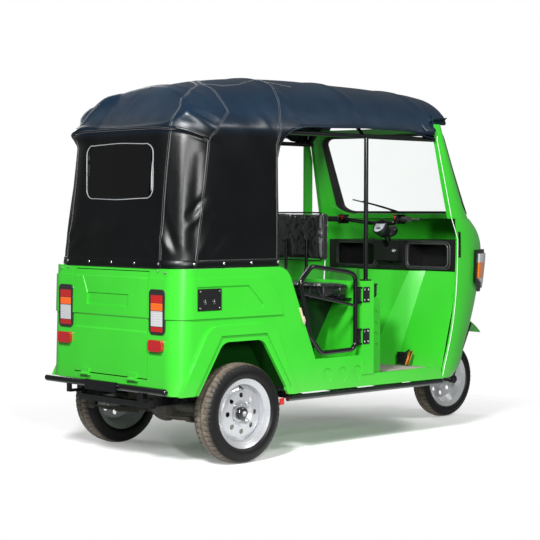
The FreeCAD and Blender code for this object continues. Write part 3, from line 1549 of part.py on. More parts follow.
cushion("driver_cushion", driver_seat_rear, driver_seat_front,
        driver_seat_half, seat_box_top + gap, driver_seat_top)
cushion("driver_backrest", back_rear, back_front,
        back_half, back_low, back_high)
cushion("jump_cushion", jump_rear, jump_front,
        jump_half, jump_low, jump_top)
tray = [box(jump_rear - 4, box_rear, -(jump_half + 4), jump_half + 4,
            jump_low - 14, jump_low - gap)]
for sign in (-1, 1):
    leg = prism_y([
        (jump_rear - 4, jump_low - 12),
        (box_rear, jump_low - 12),
        (box_rear, jump_low - 34),
        (leg_station + leg_width, leg_knee + 60),
        (leg_station + leg_width, floor_top + gap),
        (leg_station, floor_top + gap),
        (leg_station, leg_knee),
    ])
    low = leg_y * sign - leg_wall / 2
    tray.append(leg.common(box(0, 2000, low, low + leg_wall, 0, 2000)))
    tray.append(box(leg_station - 6, leg_station + leg_width + 6, low - 12, low + leg_wall + 12,
                    floor_top + gap, floor_top + gap + leg_wall))
    tray.append(tube([
        vec(back_rear - gap - 9, stalk_y * sign, back_low + 120),
        vec(back_rear - gap - 9, stalk_y * sign, partition_top + 60),
        vec(box_rear + 9, stalk_y * sign, partition_top + 20),
        vec(box_rear + 9, stalk_y * sign, partition_top + gap),
    ], 14, 9))
loose("seat_brackets", joined(tray))
cushion("bench_cushion", bench_rear, bench_front, bench_half,
        bench_low, bench_top)
bench_back = new_body("bench_backrest")
lean = sketch_on(bench_back, "XZ_Plane", "lean_profile")
polygon(lean, [
    (bench_back_rear, bench_top + gap),
    (bench_back_rear + 3, belt - 10),
    (bench_back_rear + 38, bench_back_high),
    (bench_back_front, bench_back_high),
    (bench_back_front - 8, bench_top + gap),
])
feature(bench_back, "Pad", "lean", lean, bench_back_half * 2, midplane=True)

# Small fittings
wiper_line = [(165, 1214), (225, 1243), (300, 1270), (390, 1300)]
bulkhead_shape = bulkhead.Shape.copy()
bulkhead_shape.translate(vec(-axle_x.value, 0, 0))
sweep = []
for (y0, z0), (y1, z1) in zip(wiper_line[:-1], wiper_line[1:]):
    sweep.append(rod(screen_point(y0, z0, 18), screen_point(y1, z1, 18), 4))
    sweep.append(rod(screen_point(y0 + 40, z0 + 12, 8), screen_point(y1 + 40, z1 + 12, 8), 4))
sweep.append(rod(screen_point(wiper_line[-1][0], wiper_line[-1][1], 20),
                 screen_point(wiper_line[-1][0], wiper_line[-1][1], 8), 4))
pivot_y, pivot_z = wiper_line[0]
sweep.append(rod(screen_point(pivot_y, pivot_z, -4), screen_point(pivot_y, pivot_z, 24), 8))
loose("wiper", joined(sweep).cut(screen_solid(0.0)).cut(rubber))
pedal = joined([
    box(1462, 1470, -290, -220, 376, 444),
    rod(vec(1466, -255, 430), vec(1560, -255, 460), 6),
])
loose("pedal", pedal.cut(bulkhead_shape))
mat = box(seat_box_front + 6, bulkhead_foot - 6, -470, 470, floor_top + gap, floor_top + 5)
mat = mat.cut(box(bulkhead_foot - hump_depth - 5, 1600, -(hump_foot_half + 8),
                  hump_foot_half + 8, 300, 500))
loose("floor_mat", mat)

doc.recompute()
os.makedirs("parts", exist_ok=True)
for thing in nodes:
    state = [word for word in thing.State if word in ("Invalid", "Error")]
    if state or thing.Shape.isNull() or not thing.Shape.isValid():
        raise RuntimeError("%s is not sound: %s" % (thing.Label, state))
for thing in nodes:
    thing.Shape.exportStep(os.path.join("parts", thing.Label + ".step"))
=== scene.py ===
import bmesh
import bpy
import math
from mathutils import Matrix, Vector, noise
from mathutils.bvhtree import BVHTree


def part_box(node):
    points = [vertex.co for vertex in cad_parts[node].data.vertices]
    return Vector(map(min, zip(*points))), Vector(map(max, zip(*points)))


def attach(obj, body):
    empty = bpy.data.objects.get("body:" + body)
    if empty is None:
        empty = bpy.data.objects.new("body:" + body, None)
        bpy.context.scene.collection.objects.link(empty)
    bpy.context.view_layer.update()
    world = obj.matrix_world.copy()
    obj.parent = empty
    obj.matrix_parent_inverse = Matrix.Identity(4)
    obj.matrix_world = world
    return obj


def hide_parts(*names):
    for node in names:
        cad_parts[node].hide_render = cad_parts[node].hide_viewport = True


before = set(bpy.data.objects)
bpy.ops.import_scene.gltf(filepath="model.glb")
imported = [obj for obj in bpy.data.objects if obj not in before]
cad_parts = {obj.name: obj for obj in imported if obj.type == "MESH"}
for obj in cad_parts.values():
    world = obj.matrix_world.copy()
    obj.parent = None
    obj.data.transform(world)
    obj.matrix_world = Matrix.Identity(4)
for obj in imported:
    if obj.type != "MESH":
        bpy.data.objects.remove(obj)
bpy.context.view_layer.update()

scene = bpy.context.scene

# CAMERA. It stands behind the right rear corner at standing height with a long lens,
# turned forwards and to the left, as the vehicle was seen.
camera_place = Vector((-6.1026, -6.1374, 1.235))
camera_turn = 0.8118
camera_tilt = -0.0372
camera_roll = 0.0026

lens = bpy.data.cameras.new("view_camera")
lens.sensor_fit = "HORIZONTAL"
lens.sensor_width = 36.0
lens.lens = 104.0
view_camera = bpy.data.objects.new("view_camera", lens)
scene.collection.objects.link(view_camera)
ahead = Vector((math.cos(camera_turn) * math.cos(camera_tilt),
                math.sin(camera_turn) * math.cos(camera_tilt), math.sin(camera_tilt)))
level = Vector((math.sin(camera_turn), -math.cos(camera_turn), 0.0))
upright = level.cross(ahead)
across = level * math.cos(camera_roll) + upright * math.sin(camera_roll)
upright = upright * math.cos(camera_roll) - level * math.sin(camera_roll)
view_camera.matrix_world = Matrix((
    (across.x, upright.x, -ahead.x, camera_place.x),
    (across.y, upright.y, -ahead.y, camera_place.y),
    (across.z, upright.z, -ahead.z, camera_place.z),
    (0.0, 0.0, 0.0, 1.0)))
scene.camera = view_camera

# CHASSIS. Two long box rails with cross members, side tubes and the steering head, welded
# from steel tube and coated with black powder. The coat is satin, with a fine orange peel,
# and holds road dust low down.


def new_finish(name):
    """A material with one principled shader, ready for the pattern of a finish."""
    material = bpy.data.materials.new(name)
    material.use_nodes = True
    tree = material.node_tree
    tree.nodes.clear()
    output = tree.nodes.new("ShaderNodeOutputMaterial")
    shader = tree.nodes.new("ShaderNodeBsdfPrincipled")
    tree.links.new(shader.outputs["BSDF"], output.inputs["Surface"])
    return material, tree, shader


def step(tree, kind, links=(), **values):
    """One node of a finish: the values go on its sockets, the links come from other nodes."""
    made = tree.nodes.new(kind)
    for name, value in values.items():
        spot = name.replace("_", " ")
        if spot in made.inputs:
            made.inputs[spot].default_value = value
        else:
            setattr(made, name, value)
    for source, target in links:
        tree.links.new(source, made.inputs[target])
    return made


def feed(tree, value, socket):
    """A value, or what another node makes, on a socket."""
    if isinstance(value, bpy.types.NodeSocket):
        tree.links.new(value, socket)
    else:
        socket.default_value = value


def give(tree, shader, **values):
    """The looks of a shader, each on the socket of its name."""
    for name, value in values.items():
        feed(tree, value, shader.inputs[name.replace("_", " ")])


def ramp(tree, source, stops):
    """A colour ramp over the given (place, colour) stops."""
    made = tree.nodes.new("ShaderNodeValToRGB")
    bar = made.color_ramp
    bar.elements[0].position, bar.elements[0].color = stops[0][0], (*stops[0][1], 1.0)
    bar.elements[1].position, bar.elements[1].color = stops[-1][0], (*stops[-1][1], 1.0)
    for place, colour in stops[1:-1]:
        bar.elements.new(place).color = (*colour, 1.0)
    tree.links.new(source, made.inputs["Fac"])
    return made.outputs["Color"]


def calc(tree, operation, first, second=None):
    """The result of one sum, of numbers or of what other nodes make."""
    made = step(tree, "ShaderNodeMath", operation=operation)
    feed(tree, first, made.inputs[0])
    if second is not None:
        feed(tree, second, made.inputs[1])
    return made.outputs["Value"]


def spread(tree, value, from_low, from_high, to_low, to_high):
    """A value moved from one range to another."""
    return step(tree, "ShaderNodeMapRange", [(value, "Value")], From_Min=from_low,
                From_Max=from_high, To_Min=to_low, To_Max=to_high).outputs["Result"]


def pattern(tree, kind, place, **values):
    """What a pattern gives at each place."""
    made = step(tree, "ShaderNodeTex" + kind, [(place, "Vector")], **values)
    return made.outputs["Distance" if kind == "Voronoi" else "Fac"]


def bump(tree, height, strength, distance, under=None):
    """A relief of the given height, over another relief where one lies under it."""
    links = [(height, "Height")] + ([(under, "Normal")] if under else [])
    return step(tree, "ShaderNodeBump", links, Strength=strength,
                Distance=distance).outputs["Normal"]


def over(tree, under, mask, colour):
    """The colour laid over what is there, where the mask is 1."""
    mix = step(tree, "ShaderNodeMix", data_type="RGBA")
    for index, value in ((0, mask), (6, under), (7, colour)):
        feed(tree, (*value, 1.0) if isinstance(value, tuple) else value, mix.inputs[index])
    return mix.outputs[2]


def rough_and_bump(tree, shader, place, scale, low, high, height, detail=3.0):
    """Uneven gloss between two roughness values and a fine relief of the given height."""
    cloud = pattern(tree, "Noise", place, Scale=scale, Detail=detail)
    span = spread(tree, cloud, 0.3, 0.7, low, high)
    give(tree, shader, Roughness=span, Normal=bump(tree, cloud, 1.0, height))


def object_place(tree):
    """Where on the piece a point lies."""
    return step(tree, "ShaderNodeTexCoord").outputs["Object"]


def coated(name, colour, worn, rough=(0.28, 0.42), scale=420.0, height=0.00006,
           metal=0.0, coat=0.0, dust_below=0.0, dust=(0.22, 0.19, 0.15)):
    """A coat of paint or powder with a faint second tone, and dust that lies low down."""
    material, tree, shader = new_finish(name)
    place = object_place(tree)
    patches = pattern(tree, "Noise", place, Scale=3.0, Detail=4.0)
    tone = ramp(tree, patches, [(0.35, colour), (0.7, worn)])
    if dust_below > 0.0:
        parts = step(tree, "ShaderNodeSeparateXYZ", [(place, "Vector")])
        depth = spread(tree, parts.outputs["Z"], dust_below, 0.0, 0.0, 0.75)
        grit = pattern(tree, "Noise", place, Scale=60.0, Detail=6.0)
        amount = calc(tree, "MULTIPLY", depth, grit)
        tone = over(tree, tone, amount, dust)
    give(tree, shader, Base_Color=tone, Metallic=metal, Coat_Weight=coat, Coat_Roughness=0.06)
    rough_and_bump(tree, shader, place, scale, rough[0], rough[1], height)
    return material


def wear(material, *names):
    """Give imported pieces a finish."""
    for name in names:
        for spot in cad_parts[name].material_slots:
            spot.material = material


black_powder = coated("black_powder", (0.005, 0.006, 0.007), (0.009, 0.010, 0.012),
                      rough=(0.16, 0.3), coat=0.5, dust_below=0.28)
wear(black_powder, "chassis")

# REAR AXLE, SPRINGS AND BATTERY. A cast housing with a bolted cover and the drive motor,
# hung on two packs of oiled spring steel leaves, and one sealed battery case under the bench.
cast_black = coated("cast_black", (0.010, 0.010, 0.011), (0.022, 0.020, 0.018),
                    rough=(0.45, 0.7), scale=160.0, height=0.0004, dust_below=0.45)
wear(cast_black, "rear_axle")
spring_coat = coated("spring_coat", (0.013, 0.013, 0.014), (0.03, 0.027, 0.024),
                     rough=(0.4, 0.6), scale=90.0, height=0.0003, dust_below=0.4)
wear(spring_coat, "leaf_springs")
battery_plastic = coated("battery_plastic", (0.02, 0.02, 0.022), (0.03, 0.03, 0.033),
                         rough=(0.5, 0.6), scale=600.0)
wear(battery_plastic, "battery")

# TYRES. Moulded road tyres with one zigzag groove round the crown, cross sipes on both
# shoulders and a bead lip, run in: the blocks are tan with dust, the walls stay black.
rear_axle_x = -0.9536
front_axle_x = 1.1634
rear_wheel_y = 0.479
rear_wheel_radius = 0.247
front_wheel_radius = 0.229
around = 432


def made_piece(name, shape, material, body, smooth=True):
    """A finished mesh piece at the origin that rides on a body."""
    mesh = bpy.data.meshes.new(name)
    shape.to_mesh(mesh)
    shape.free()
    mesh.materials.append(material)
    for polygon in mesh.polygons:
        polygon.use_smooth = smooth
    piece = bpy.data.objects.new(name, mesh)
    scene.collection.objects.link(piece)
    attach(piece, body)
    return piece


def closed_piece(name, shape, material, body, smooth=True):
    """A piece whose faces are first turned outwards."""
    bmesh.ops.recalc_face_normals(shape, faces=shape.faces)
    return made_piece(name, shape, material, body, smooth)


def tyre_section(width, radius, rim):
    """Half of the tyre's outline, from the crown to the bead, as (across, radius)."""
    half = width / 2
    wall = radius - rim
    return [
        (0.0, radius), (half * 0.10, radius), (half * 0.20, radius - 0.0003),
        (half * 0.34, radius - 0.001), (half * 0.48, radius - 0.0022),
        (half * 0.62, radius - 0.0042), (half * 0.72, radius - 0.007),
        (half * 0.80, radius - 0.0105), (half * 0.865, radius - 0.016),
        (half * 0.91, radius - 0.023), (half * 0.95, radius - 0.031),
        (half * 0.985, radius - wall * 0.48), (half, radius - wall * 0.58),
        (half * 0.985, radius - wall * 0.70), (half * 0.93, radius - wall * 0.82),
        (half * 0.90, radius - wall * 0.86), (half * 0.88, radius - wall * 0.865),
        (half * 0.83, radius - wall * 0.93), (half * 0.75, rim + 0.0012),
        (half * 0.66, rim + 0.0012)]


def tread_depth(turn, across, half, blocks):
    """How deep the moulded grooves go at one place of the tread."""
    beat = (turn / (2 * math.pi) * blocks) % 1.0
    zigzag = abs(beat - 0.5) * 4.0 - 1.0
    depth = 0.0
    if abs(across - zigzag * half * 0.045) < half * 0.075:
        depth = 0.0055
    side_beat = (beat + (0.5 if across > 0 else 0.0)) % 1.0
    slant = side_beat - 0.25 * (abs(across) / half - 0.3)
    if abs(across) > half * 0.30 and 0.30 < slant < 0.46:
        depth = max(depth, 0.0045)
    if half * 0.83 < abs(across) < half * 0.94 and (slant * 2) % 1.0 < 0.26:
        depth = max(depth, 0.003)
    return depth


def moulded_tyre(node, body, centre, width, radius, rim, blocks, material):
    """A tyre with its tread cut in, as one closed ring round the axle."""
    half_outline = tyre_section(width, radius, rim)
    outline = [(-y, r) for y, r in half_outline[:0:-1]] + half_outline
    shape = bmesh.new()
    rings = []
    for index in range(around):
        turn = 2 * math.pi * index / around
        ring = []
        for across_at, out in outline:
            groove = 0.0
            if out > radius - 0.03:
                groove = tread_depth(turn, across_at, width / 2, blocks)
            reach = out - groove
            ring.append(shape.verts.new(Vector((centre.x + reach * math.cos(turn),
                                                centre.y + across_at,
                                                centre.z + reach * math.sin(turn)))))
        rings.append(ring)
    for index in range(around):
        near, far = rings[index], rings[(index + 1) % around]
        for place in range(len(outline) - 1):
            shape.faces.new((near[place], near[place + 1], far[place + 1], far[place]))
        shape.faces.new((near[-1], near[0], far[0], far[-1]))
    piece = closed_piece(node + "_moulding", shape, material, body)
    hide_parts(node)
    return piece


def tyre_rubber(name, centre, radius):
    """Black rubber, dusty on the crown of the tread and clean and satin on the walls."""
    material, tree, shader = new_finish(name)
    place = object_place(tree)
    from_hub = step(tree, "ShaderNodeVectorMath", [(place, 0)], operation="SUBTRACT")
    from_hub.inputs[1].default_value = centre
    side_on = step(tree, "ShaderNodeVectorMath", [(from_hub.outputs["Vector"], 0)],
                   operation="MULTIPLY")
    side_on.inputs[1].default_value = (1.0, 0.0, 1.0)
    out = step(tree, "ShaderNodeVectorMath", [(side_on.outputs["Vector"], 0)],
               operation="LENGTH").outputs["Value"]
    crown = spread(tree, out, radius - 0.012, radius - 0.001, 0.0, 1.0)
    dusty = calc(tree, "MULTIPLY", crown, pattern(tree, "Noise", place, Scale=45.0, Detail=7.0))
    colour = over(tree, (0.0045, 0.0045, 0.0048), dusty, (0.27, 0.225, 0.175))
    give(tree, shader, Base_Color=colour, Specular_IOR_Level=0.25)
    rough_and_bump(tree, shader, place, 240.0, 0.36, 0.55, 0.0003)
    return material


tread_blocks = 54
for side, x, y, radius, width, rim in (
        ("rear_right", rear_axle_x, -rear_wheel_y, rear_wheel_radius, 0.132, 0.168),
        ("rear_left", rear_axle_x, rear_wheel_y, rear_wheel_radius, 0.132, 0.168),
        ("front", front_axle_x, 0.0, front_wheel_radius, 0.108, 0.164)):
    hub = Vector((x, y, radius))
    body = "front_wheel" if side == "front" else side.replace("rear_", "rear_wheel_")
    moulded_tyre("tyre_" + side, body, hub, width, radius, rim, tread_blocks,
                 tyre_rubber("tyre_" + side + "_rubber", hub, radius))

# WHEELS. Pressed steel discs with round vents in silver enamel, a domed black hub cap with
# its nut, four studs with nuts, and a rubber valve.
wheel_silver = coated("wheel_silver", (0.50, 0.51, 0.53), (0.58, 0.59, 0.61),
                      rough=(0.24, 0.36), metal=0.55, coat=0.3, dust_below=0.16)
wear(wheel_silver, "wheel_rear_left", "wheel_rear_right", "wheel_front")
cap_black = coated("hub_cap_black", (0.010, 0.011, 0.012), (0.016, 0.017, 0.019),
                   rough=(0.2, 0.34), coat=0.6)
zinc = coated("bright_zinc", (0.62, 0.63, 0.64), (0.5, 0.5, 0.5), rough=(0.2, 0.34), metal=1.0)
stud_circle = 0.058
stud_count = 4


def turned(shape, outline, centre, axis, count=32, start=0.0):
    """Faces of a form turned from (along, radius) pairs about an axis through the centre."""
    axis = Vector(axis).normalized()
    first = axis.orthogonal().normalized()
    second = axis.cross(first)
    rings = []
    for along_axis, radius in outline:
        ring = []
        for index in range(count):
            angle = start + 2 * math.pi * index / count
            out = first * math.cos(angle) + second * math.sin(angle)
            ring.append(shape.verts.new(Vector(centre) + axis * along_axis + out * radius))
        rings.append(ring)
    for near, far in zip(rings, rings[1:]):
        for index in range(count):
            after = (index + 1) % count
            shape.faces.new((near[index], near[after], far[after], far[index]))
    for ring, flip in ((rings[0], True), (rings[-1], False)):
        shape.faces.new(ring[::-1] if flip else ring)
    return rings


def hub_fittings(name, body, centre, sign, face, metal, dark):
    """The cap over the bearing, the axle nut on it, and the stud nuts round it."""
    axis = (0.0, sign, 0.0)
    shape = bmesh.new()
    turned(shape, [(face - 0.012, 0.033), (face + 0.004, 0.033), (face + 0.012, 0.0295),
                   (face + 0.016, 0.022), (face + 0.0162, 0.0)], centre, axis)
    bmesh.ops.remove_doubles(shape, verts=shape.verts, dist=0.0001)
    closed_piece(name + "_hub_cap", shape, dark, body)
    shape = bmesh.new()
    turned(shape, [(face + 0.014, 0.0155), (face + 0.0215, 0.0155), (face + 0.0235, 0.0135)],
           centre, axis, count=6)
    turned(shape, [(face + 0.0235, 0.0085), (face + 0.0262, 0.008), (face + 0.0275, 0.006)],
           centre, axis, count=20)
    for index in range(stud_count):
        turn = math.pi / 4 + 2 * math.pi * index / stud_count
        spot = Vector(centre) + Vector((math.cos(turn), 0.0, math.sin(turn))) * stud_circle
        turned(shape, [(face - 0.010, 0.0125), (face - 0.0085, 0.0125)], spot, axis, count=24)
        turned(shape, [(face - 0.0085, 0.0095), (face - 0.0015, 0.0095),
                       (face - 0.0005, 0.008)], spot, axis, count=6, start=turn)
        turned(shape, [(face - 0.0005, 0.0052), (face + 0.005, 0.005), (face + 0.006, 0.004)],
               spot, axis, count=14)
    closed_piece(name + "_wheel_nuts", shape, metal, body, smooth=False)
    shape = bmesh.new()
    foot = Vector(centre) + Vector((0.0, sign * (face - 0.02), 0.131))
    turned(shape, [(0.0, 0.006), (0.014, 0.005), (0.018, 0.004), (0.030, 0.004),
                   (0.031, 0.0034)], foot, (0.0, sign, -0.35), count=14)
    closed_piece(name + "_valve", shape, dark, body)


disc_face = 0.032
for side, sign in (("right", -1), ("left", 1)):
    hub_fittings("rear_" + side, "rear_wheel_" + side,
                 (rear_axle_x, rear_wheel_y * sign, rear_wheel_radius), sign, disc_face, zinc,
                 cap_black)

# BODY SHELL. Pressed steel tub, tailgate, floor, seat box and front panels in bright green
# enamel under clear lacquer, with a faint orange peel and some dust along the sills. The
# insides of the wheel housings are painted a darker green as painted shade, with a dull finish.
green_low = (0.028, 0.44, 0.018)
green_high = (0.038, 0.48, 0.025)


def within(tree, value, low, high):
    """1 where the value lies between two limits."""
    return calc(tree, "MULTIPLY", calc(tree, "GREATER_THAN", value, low),
                calc(tree, "LESS_THAN", value, high))


def enamel(name, shaded_housings):
    """Green enamel under lacquer. With shaded_housings, the wheel housings get painted shade, a
    dark green, and turn dull.
    """
    material, tree, shader = new_finish(name)
    place = object_place(tree)
    patches = pattern(tree, "Noise", place, Scale=2.2, Detail=4.0)
    colour = ramp(tree, patches, [(0.35, green_low), (0.7, green_high)])
    parts = step(tree, "ShaderNodeSeparateXYZ", [(place, "Vector")])
    depth = spread(tree, parts.outputs["Z"], 0.46, 0.30, 0.0, 0.22)
    grit = pattern(tree, "Noise", place, Scale=40.0, Detail=6.0)
    dusty = calc(tree, "MULTIPLY", depth, grit)
    colour = over(tree, colour, dusty, (0.30, 0.27, 0.20))
    peel = pattern(tree, "Noise", place, Scale=420.0, Detail=2.0)
    relief = bump(tree, peel, 0.35, 0.0001)
    give(tree, shader, Normal=relief, Roughness=0.30, Coat_Weight=0.5, Coat_Roughness=0.22)
    if shaded_housings:
        # Painted shade: inside the rear wheel housings the green is darkened to stand in for the
        # shade that falls there.
        sideways = calc(tree, "ABSOLUTE", parts.outputs["Y"])
        housing_shade_mask = calc(tree, "MULTIPLY", within(tree, sideways, 0.385, 0.506),
                         within(tree, parts.outputs["X"], rear_axle_x - 0.318,
                                rear_axle_x + 0.318))
        housing_shade_mask = calc(tree, "MULTIPLY", housing_shade_mask, within(tree, parts.outputs["Z"], 0.0, 0.6055))
        colour = over(tree, colour, housing_shade_mask, (0.002, 0.030, 0.002))
        clean = calc(tree, "SUBTRACT", 0.5, housing_shade_mask)
        give(tree, shader, Coat_Weight=clean,
             Roughness=spread(tree, housing_shade_mask, 0.0, 1.0, 0.30, 0.85),
             Specular_IOR_Level=spread(tree, housing_shade_mask, 0.0, 1.0, 0.5, 0.05))
    give(tree, shader, Base_Color=colour)
    return material


body_green = enamel("body_green", False)
wear(body_green, "tailgate", "floor_pan", "seat_box", "front_cowl", "bulkhead",
     "screen_frame", "side_panel", "mudguard")
wear(enamel("tub_green_painted_housing_shade", True), "rear_tub")

# BUMPER AND FORK. Round steel tube, bent and welded, in gloss black powder that shows the
# lamps as thin lines and holds a little road dust low down.
gloss_powder = coated("gloss_powder", (0.0022, 0.0026, 0.0030), (0.0040, 0.0045, 0.0055),
                      rough=(0.16, 0.24), scale=500.0, height=0.00004, coat=0.12,
                      dust_below=0.25)
wear(gloss_powder, "rear_bumper", "fork")


# SEATS. Foam blocks in sewn black vinyl covers with a piped edge, drawn in by seams across
# the bench, on black tube brackets. The driver's backrest and the jump seat still wear their
# clear packing film, with painted highlights as white streaks along its creases.
wear(gloss_powder, "seat_brackets")


def shown(tree, made):
    """Show what a chain of shaders makes in place of the plain one."""
    output = [n for n in tree.nodes if n.bl_idname == "ShaderNodeOutputMaterial"][0]
    tree.links.new(made.outputs["Shader"], output.inputs["Surface"])


seat_vinyl, tree, shader = new_finish("seat_vinyl_black")
place = object_place(tree)
cells = pattern(tree, "Voronoi", place, Scale=420.0)
cloud = pattern(tree, "Noise", place, Scale=7.0, Detail=4.0)
tone = ramp(tree, cloud, [(0.3, (0.006, 0.006, 0.007)),
                                         (0.7, (0.011, 0.011, 0.012))])
give(tree, shader, Base_Color=tone)
pulls = pattern(tree, "Noise", place, Scale=22.0, Detail=5.0)
first = bump(tree, pulls, 0.4, 0.003)
relief = bump(tree, cells, 0.5, 0.0004, first)
give(tree, shader, Normal=relief, Roughness=0.38)

packing_film, tree, shader = new_finish("clear_packing_film")
tree.nodes.remove(shader)
place = object_place(tree)
stretch = step(tree, "ShaderNodeMapping", [(place, "Vector")])
stretch.inputs["Scale"].default_value = (1.0, 1.0, 0.55)
stretch.inputs["Rotation"].default_value = (0.5, 0.3, 0.2)
streaks = pattern(tree, "Voronoi", stretch.outputs["Vector"], Scale=7.0,
                  feature="DISTANCE_TO_EDGE")
ridges = pattern(tree, "Noise", stretch.outputs["Vector"], Scale=24.0, Detail=6.0, Distortion=1.2)
crumple = bump(tree, streaks, 0.6, 0.012)
relief = bump(tree, ridges, 0.5, 0.004, crumple)
through = step(tree, "ShaderNodeBsdfTransparent", Color=(0.93, 0.94, 0.95, 1.0))
shine = step(tree, "ShaderNodeBsdfGlossy", [(relief, "Normal")],
             Roughness=0.12, Color=(1.0, 1.0, 1.0, 1.0))
# Painted highlights: thin white streaks along the film's creases, put in as colour for the glints
# on the crumpled film.
glint_white = step(tree, "ShaderNodeBsdfTranslucent", Color=(0.85, 0.86, 0.88, 1.0))
painted_glint_streaks = ramp(tree, streaks, [(0.0, (0.85, 0.85, 0.85)),
                                                (0.012, (0.0, 0.0, 0.0))])
facing = step(tree, "ShaderNodeLayerWeight", [(relief, "Normal")], Blend=0.3)
gloss = spread(tree, facing.outputs["Facing"], 0.0, 1.0, 0.006, 0.34)
base = step(tree, "ShaderNodeMixShader", [(gloss, 0),
                                          (through.outputs["BSDF"], 1),
                                          (shine.outputs["BSDF"], 2)])
whole = step(tree, "ShaderNodeMixShader", [(painted_glint_streaks, 0), (base.outputs["Shader"], 1),
                                           (glint_white.outputs["BSDF"], 2)])
shown(tree, whole)


def tube_along(shape, points, radius, sides=8, closed=False):
    """Faces of a round tube that follows the points."""
    points = [Vector(point) for point in points]
    last = len(points) - 1
    rings = []
    guide = None
    for index, point in enumerate(points):
        before = points[index - 1] if index or closed else point
        after = points[(index + 1) % len(points)] if index < last or closed else point
        ahead = (after - before).normalized()
        if guide is None:
            guide = ahead.orthogonal().normalized()
        guide = (guide - ahead * guide.dot(ahead)).normalized()
        other = ahead.cross(guide)
        rings.append([shape.verts.new(point + (guide * math.cos(2 * math.pi * k / sides)
                                               + other * math.sin(2 * math.pi * k / sides))
                                      * radius) for k in range(sides)])
    pairs = list(zip(rings, rings[1:]))
    if closed:
        pairs.append((rings[-1], rings[0]))
    for near, far in pairs:
        for k in range(sides):
            after = (k + 1) % sides
            shape.faces.new((near[k], near[after], far[after], far[k]))
    if not closed:
        shape.faces.new(rings[0][::-1])
        shape.faces.new(rings[-1])
    return rings


def stuffed(node, inset, cell, swell, channels, across):
    """A cover blown out by its foam: cloth under pressure, held to the seams' places."""
    low, high = (Vector(corner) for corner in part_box(node))
    middle = (low + high) / 2
    shape = bmesh.new()
    shape.from_mesh(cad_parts[node].data)
    bmesh.ops.remove_doubles(shape, verts=shape.verts, dist=0.00005)
    for vertex in shape.verts:
        for axis in range(3):
            span = (high[axis] - low[axis]) / 2
            vertex.co[axis] = middle[axis] + (vertex.co[axis] - middle[axis]) * (
                (span - inset) / span)
    mesh = bpy.data.meshes.new(node + "_blank")
    shape.to_mesh(mesh)
    shape.free()
    cover = bpy.data.objects.new(node + "_cover", mesh)
    scene.collection.objects.link(cover)
    blocks = cover.modifiers.new("cells", "REMESH")
    blocks.mode = "VOXEL"
    blocks.voxel_size = cell
    settle(cover)
    rest = [vertex.co.copy() for vertex in cover.data.vertices]
    cloth = cover.modifiers.new("cloth", "CLOTH")
    cloth.settings.quality = 4
    cloth.settings.mass = 0.3
    cloth.settings.tension_stiffness = 18.0
    cloth.settings.compression_stiffness = 12.0
    cloth.settings.shear_stiffness = 6.0
    cloth.settings.bending_stiffness = 1.5
    cloth.settings.use_pressure = True
    cloth.settings.uniform_pressure_force = 4.0
    cloth.settings.effector_weights.gravity = 0.0
    for frame_number in range(1, 21):
        scene.frame_set(frame_number)
    settle(cover)
    scene.frame_set(1)
    for vertex, start in zip(cover.data.vertices, rest):
        move = vertex.co - start
        if move.length > swell:
            vertex.co = start + move * (swell / move.length)
        side_share = (vertex.co[across] - low[across]) / (high[across] - low[across])
        for channel in channels:
            gap = (side_share - channel) * (high[across] - low[across])
            pinch = 0.009 * math.exp(-(gap / 0.011) ** 2)
            inward = middle - vertex.co
            inward[across] = 0.0
            vertex.co += inward.normalized() * pinch
        ripple = 0.0014 * noise.noise(start * 17.0) + 0.0022 * noise.noise(start * 6.0)
        vertex.co += (start - middle).normalized() * ripple
        for axis in range(3):
            vertex.co[axis] = max(low[axis], min(high[axis], vertex.co[axis]))
    for polygon in cover.data.polygons:
        polygon.use_smooth = True
    cover.data.materials.clear()
    cover.data.materials.append(seat_vinyl)
    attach(cover, "body")
    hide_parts(node)
    return cover


def settle(thing):
    """Keep what the modifiers made as the mesh itself."""
    graph = bpy.context.evaluated_depsgraph_get()
    made = bpy.data.meshes.new_from_object(thing.evaluated_get(graph))
    thing.modifiers.clear()
    thing.data = made


def rounded_ring(y0, y1, z0, z1, corner, level, second=2, steps=6):
    """A closed line with round corners, along Y and a second axis, at a level of the third."""
    ring = []
    for quarter, (cy, cz) in enumerate(((y1 - corner, z1 - corner), (y0 + corner, z1 - corner),
                                        (y0 + corner, z0 + corner), (y1 - corner, z0 + corner))):
        for count in range(steps + 1):
            turn = math.pi / 2 * (quarter + count / steps)
            spot = Vector((level, level, level))
            spot[1] = cy + corner * math.cos(turn)
            spot[second] = cz + corner * math.sin(turn)
            ring.append(spot)
    return ring


def piping(node, upright, level, radius=0.004, corner=0.035):
    """A welt round a cushion at one level, or round its face when it stands upright."""
    low, high = (Vector(corner_at) for corner_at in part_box(node))
    second = 2 if upright else 0
    ring = rounded_ring(low[1] + 0.006, high[1] - 0.006, low[second] + 0.006,
                        high[second] - 0.006, corner, level, second, 8)
    shape = bmesh.new()
    tube_along(shape, ring, radius, closed=True)
    closed_piece(node + "_piping", shape, seat_vinyl, "body")


def packed_in_film(cover, node, swell):
    """Loose clear film round a cushion, standing off it in creases."""
    low, high = (Vector(corner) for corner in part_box(node))
    shape = bmesh.new()
    shape.from_mesh(cover.data)
    shape.normal_update()
    moves = []
    for vertex in shape.verts:
        spot = vertex.co
        crease = abs(noise.noise(Vector((spot.x * 23.0, spot.y * 15.0, spot.z * 31.0))))
        crease += 0.6 * abs(noise.noise(Vector((spot.x * 60.0, spot.y * 45.0, spot.z * 70.0))))
        moves.append(vertex.normal * (0.0015 + swell * crease))
    for vertex, move in zip(shape.verts, moves):
        vertex.co += move
        for axis in range(3):
            vertex.co[axis] = max(low[axis] - 0.008, min(high[axis] + 0.008, vertex.co[axis]))
    return made_piece(node + "_film", shape, packing_film, "body")


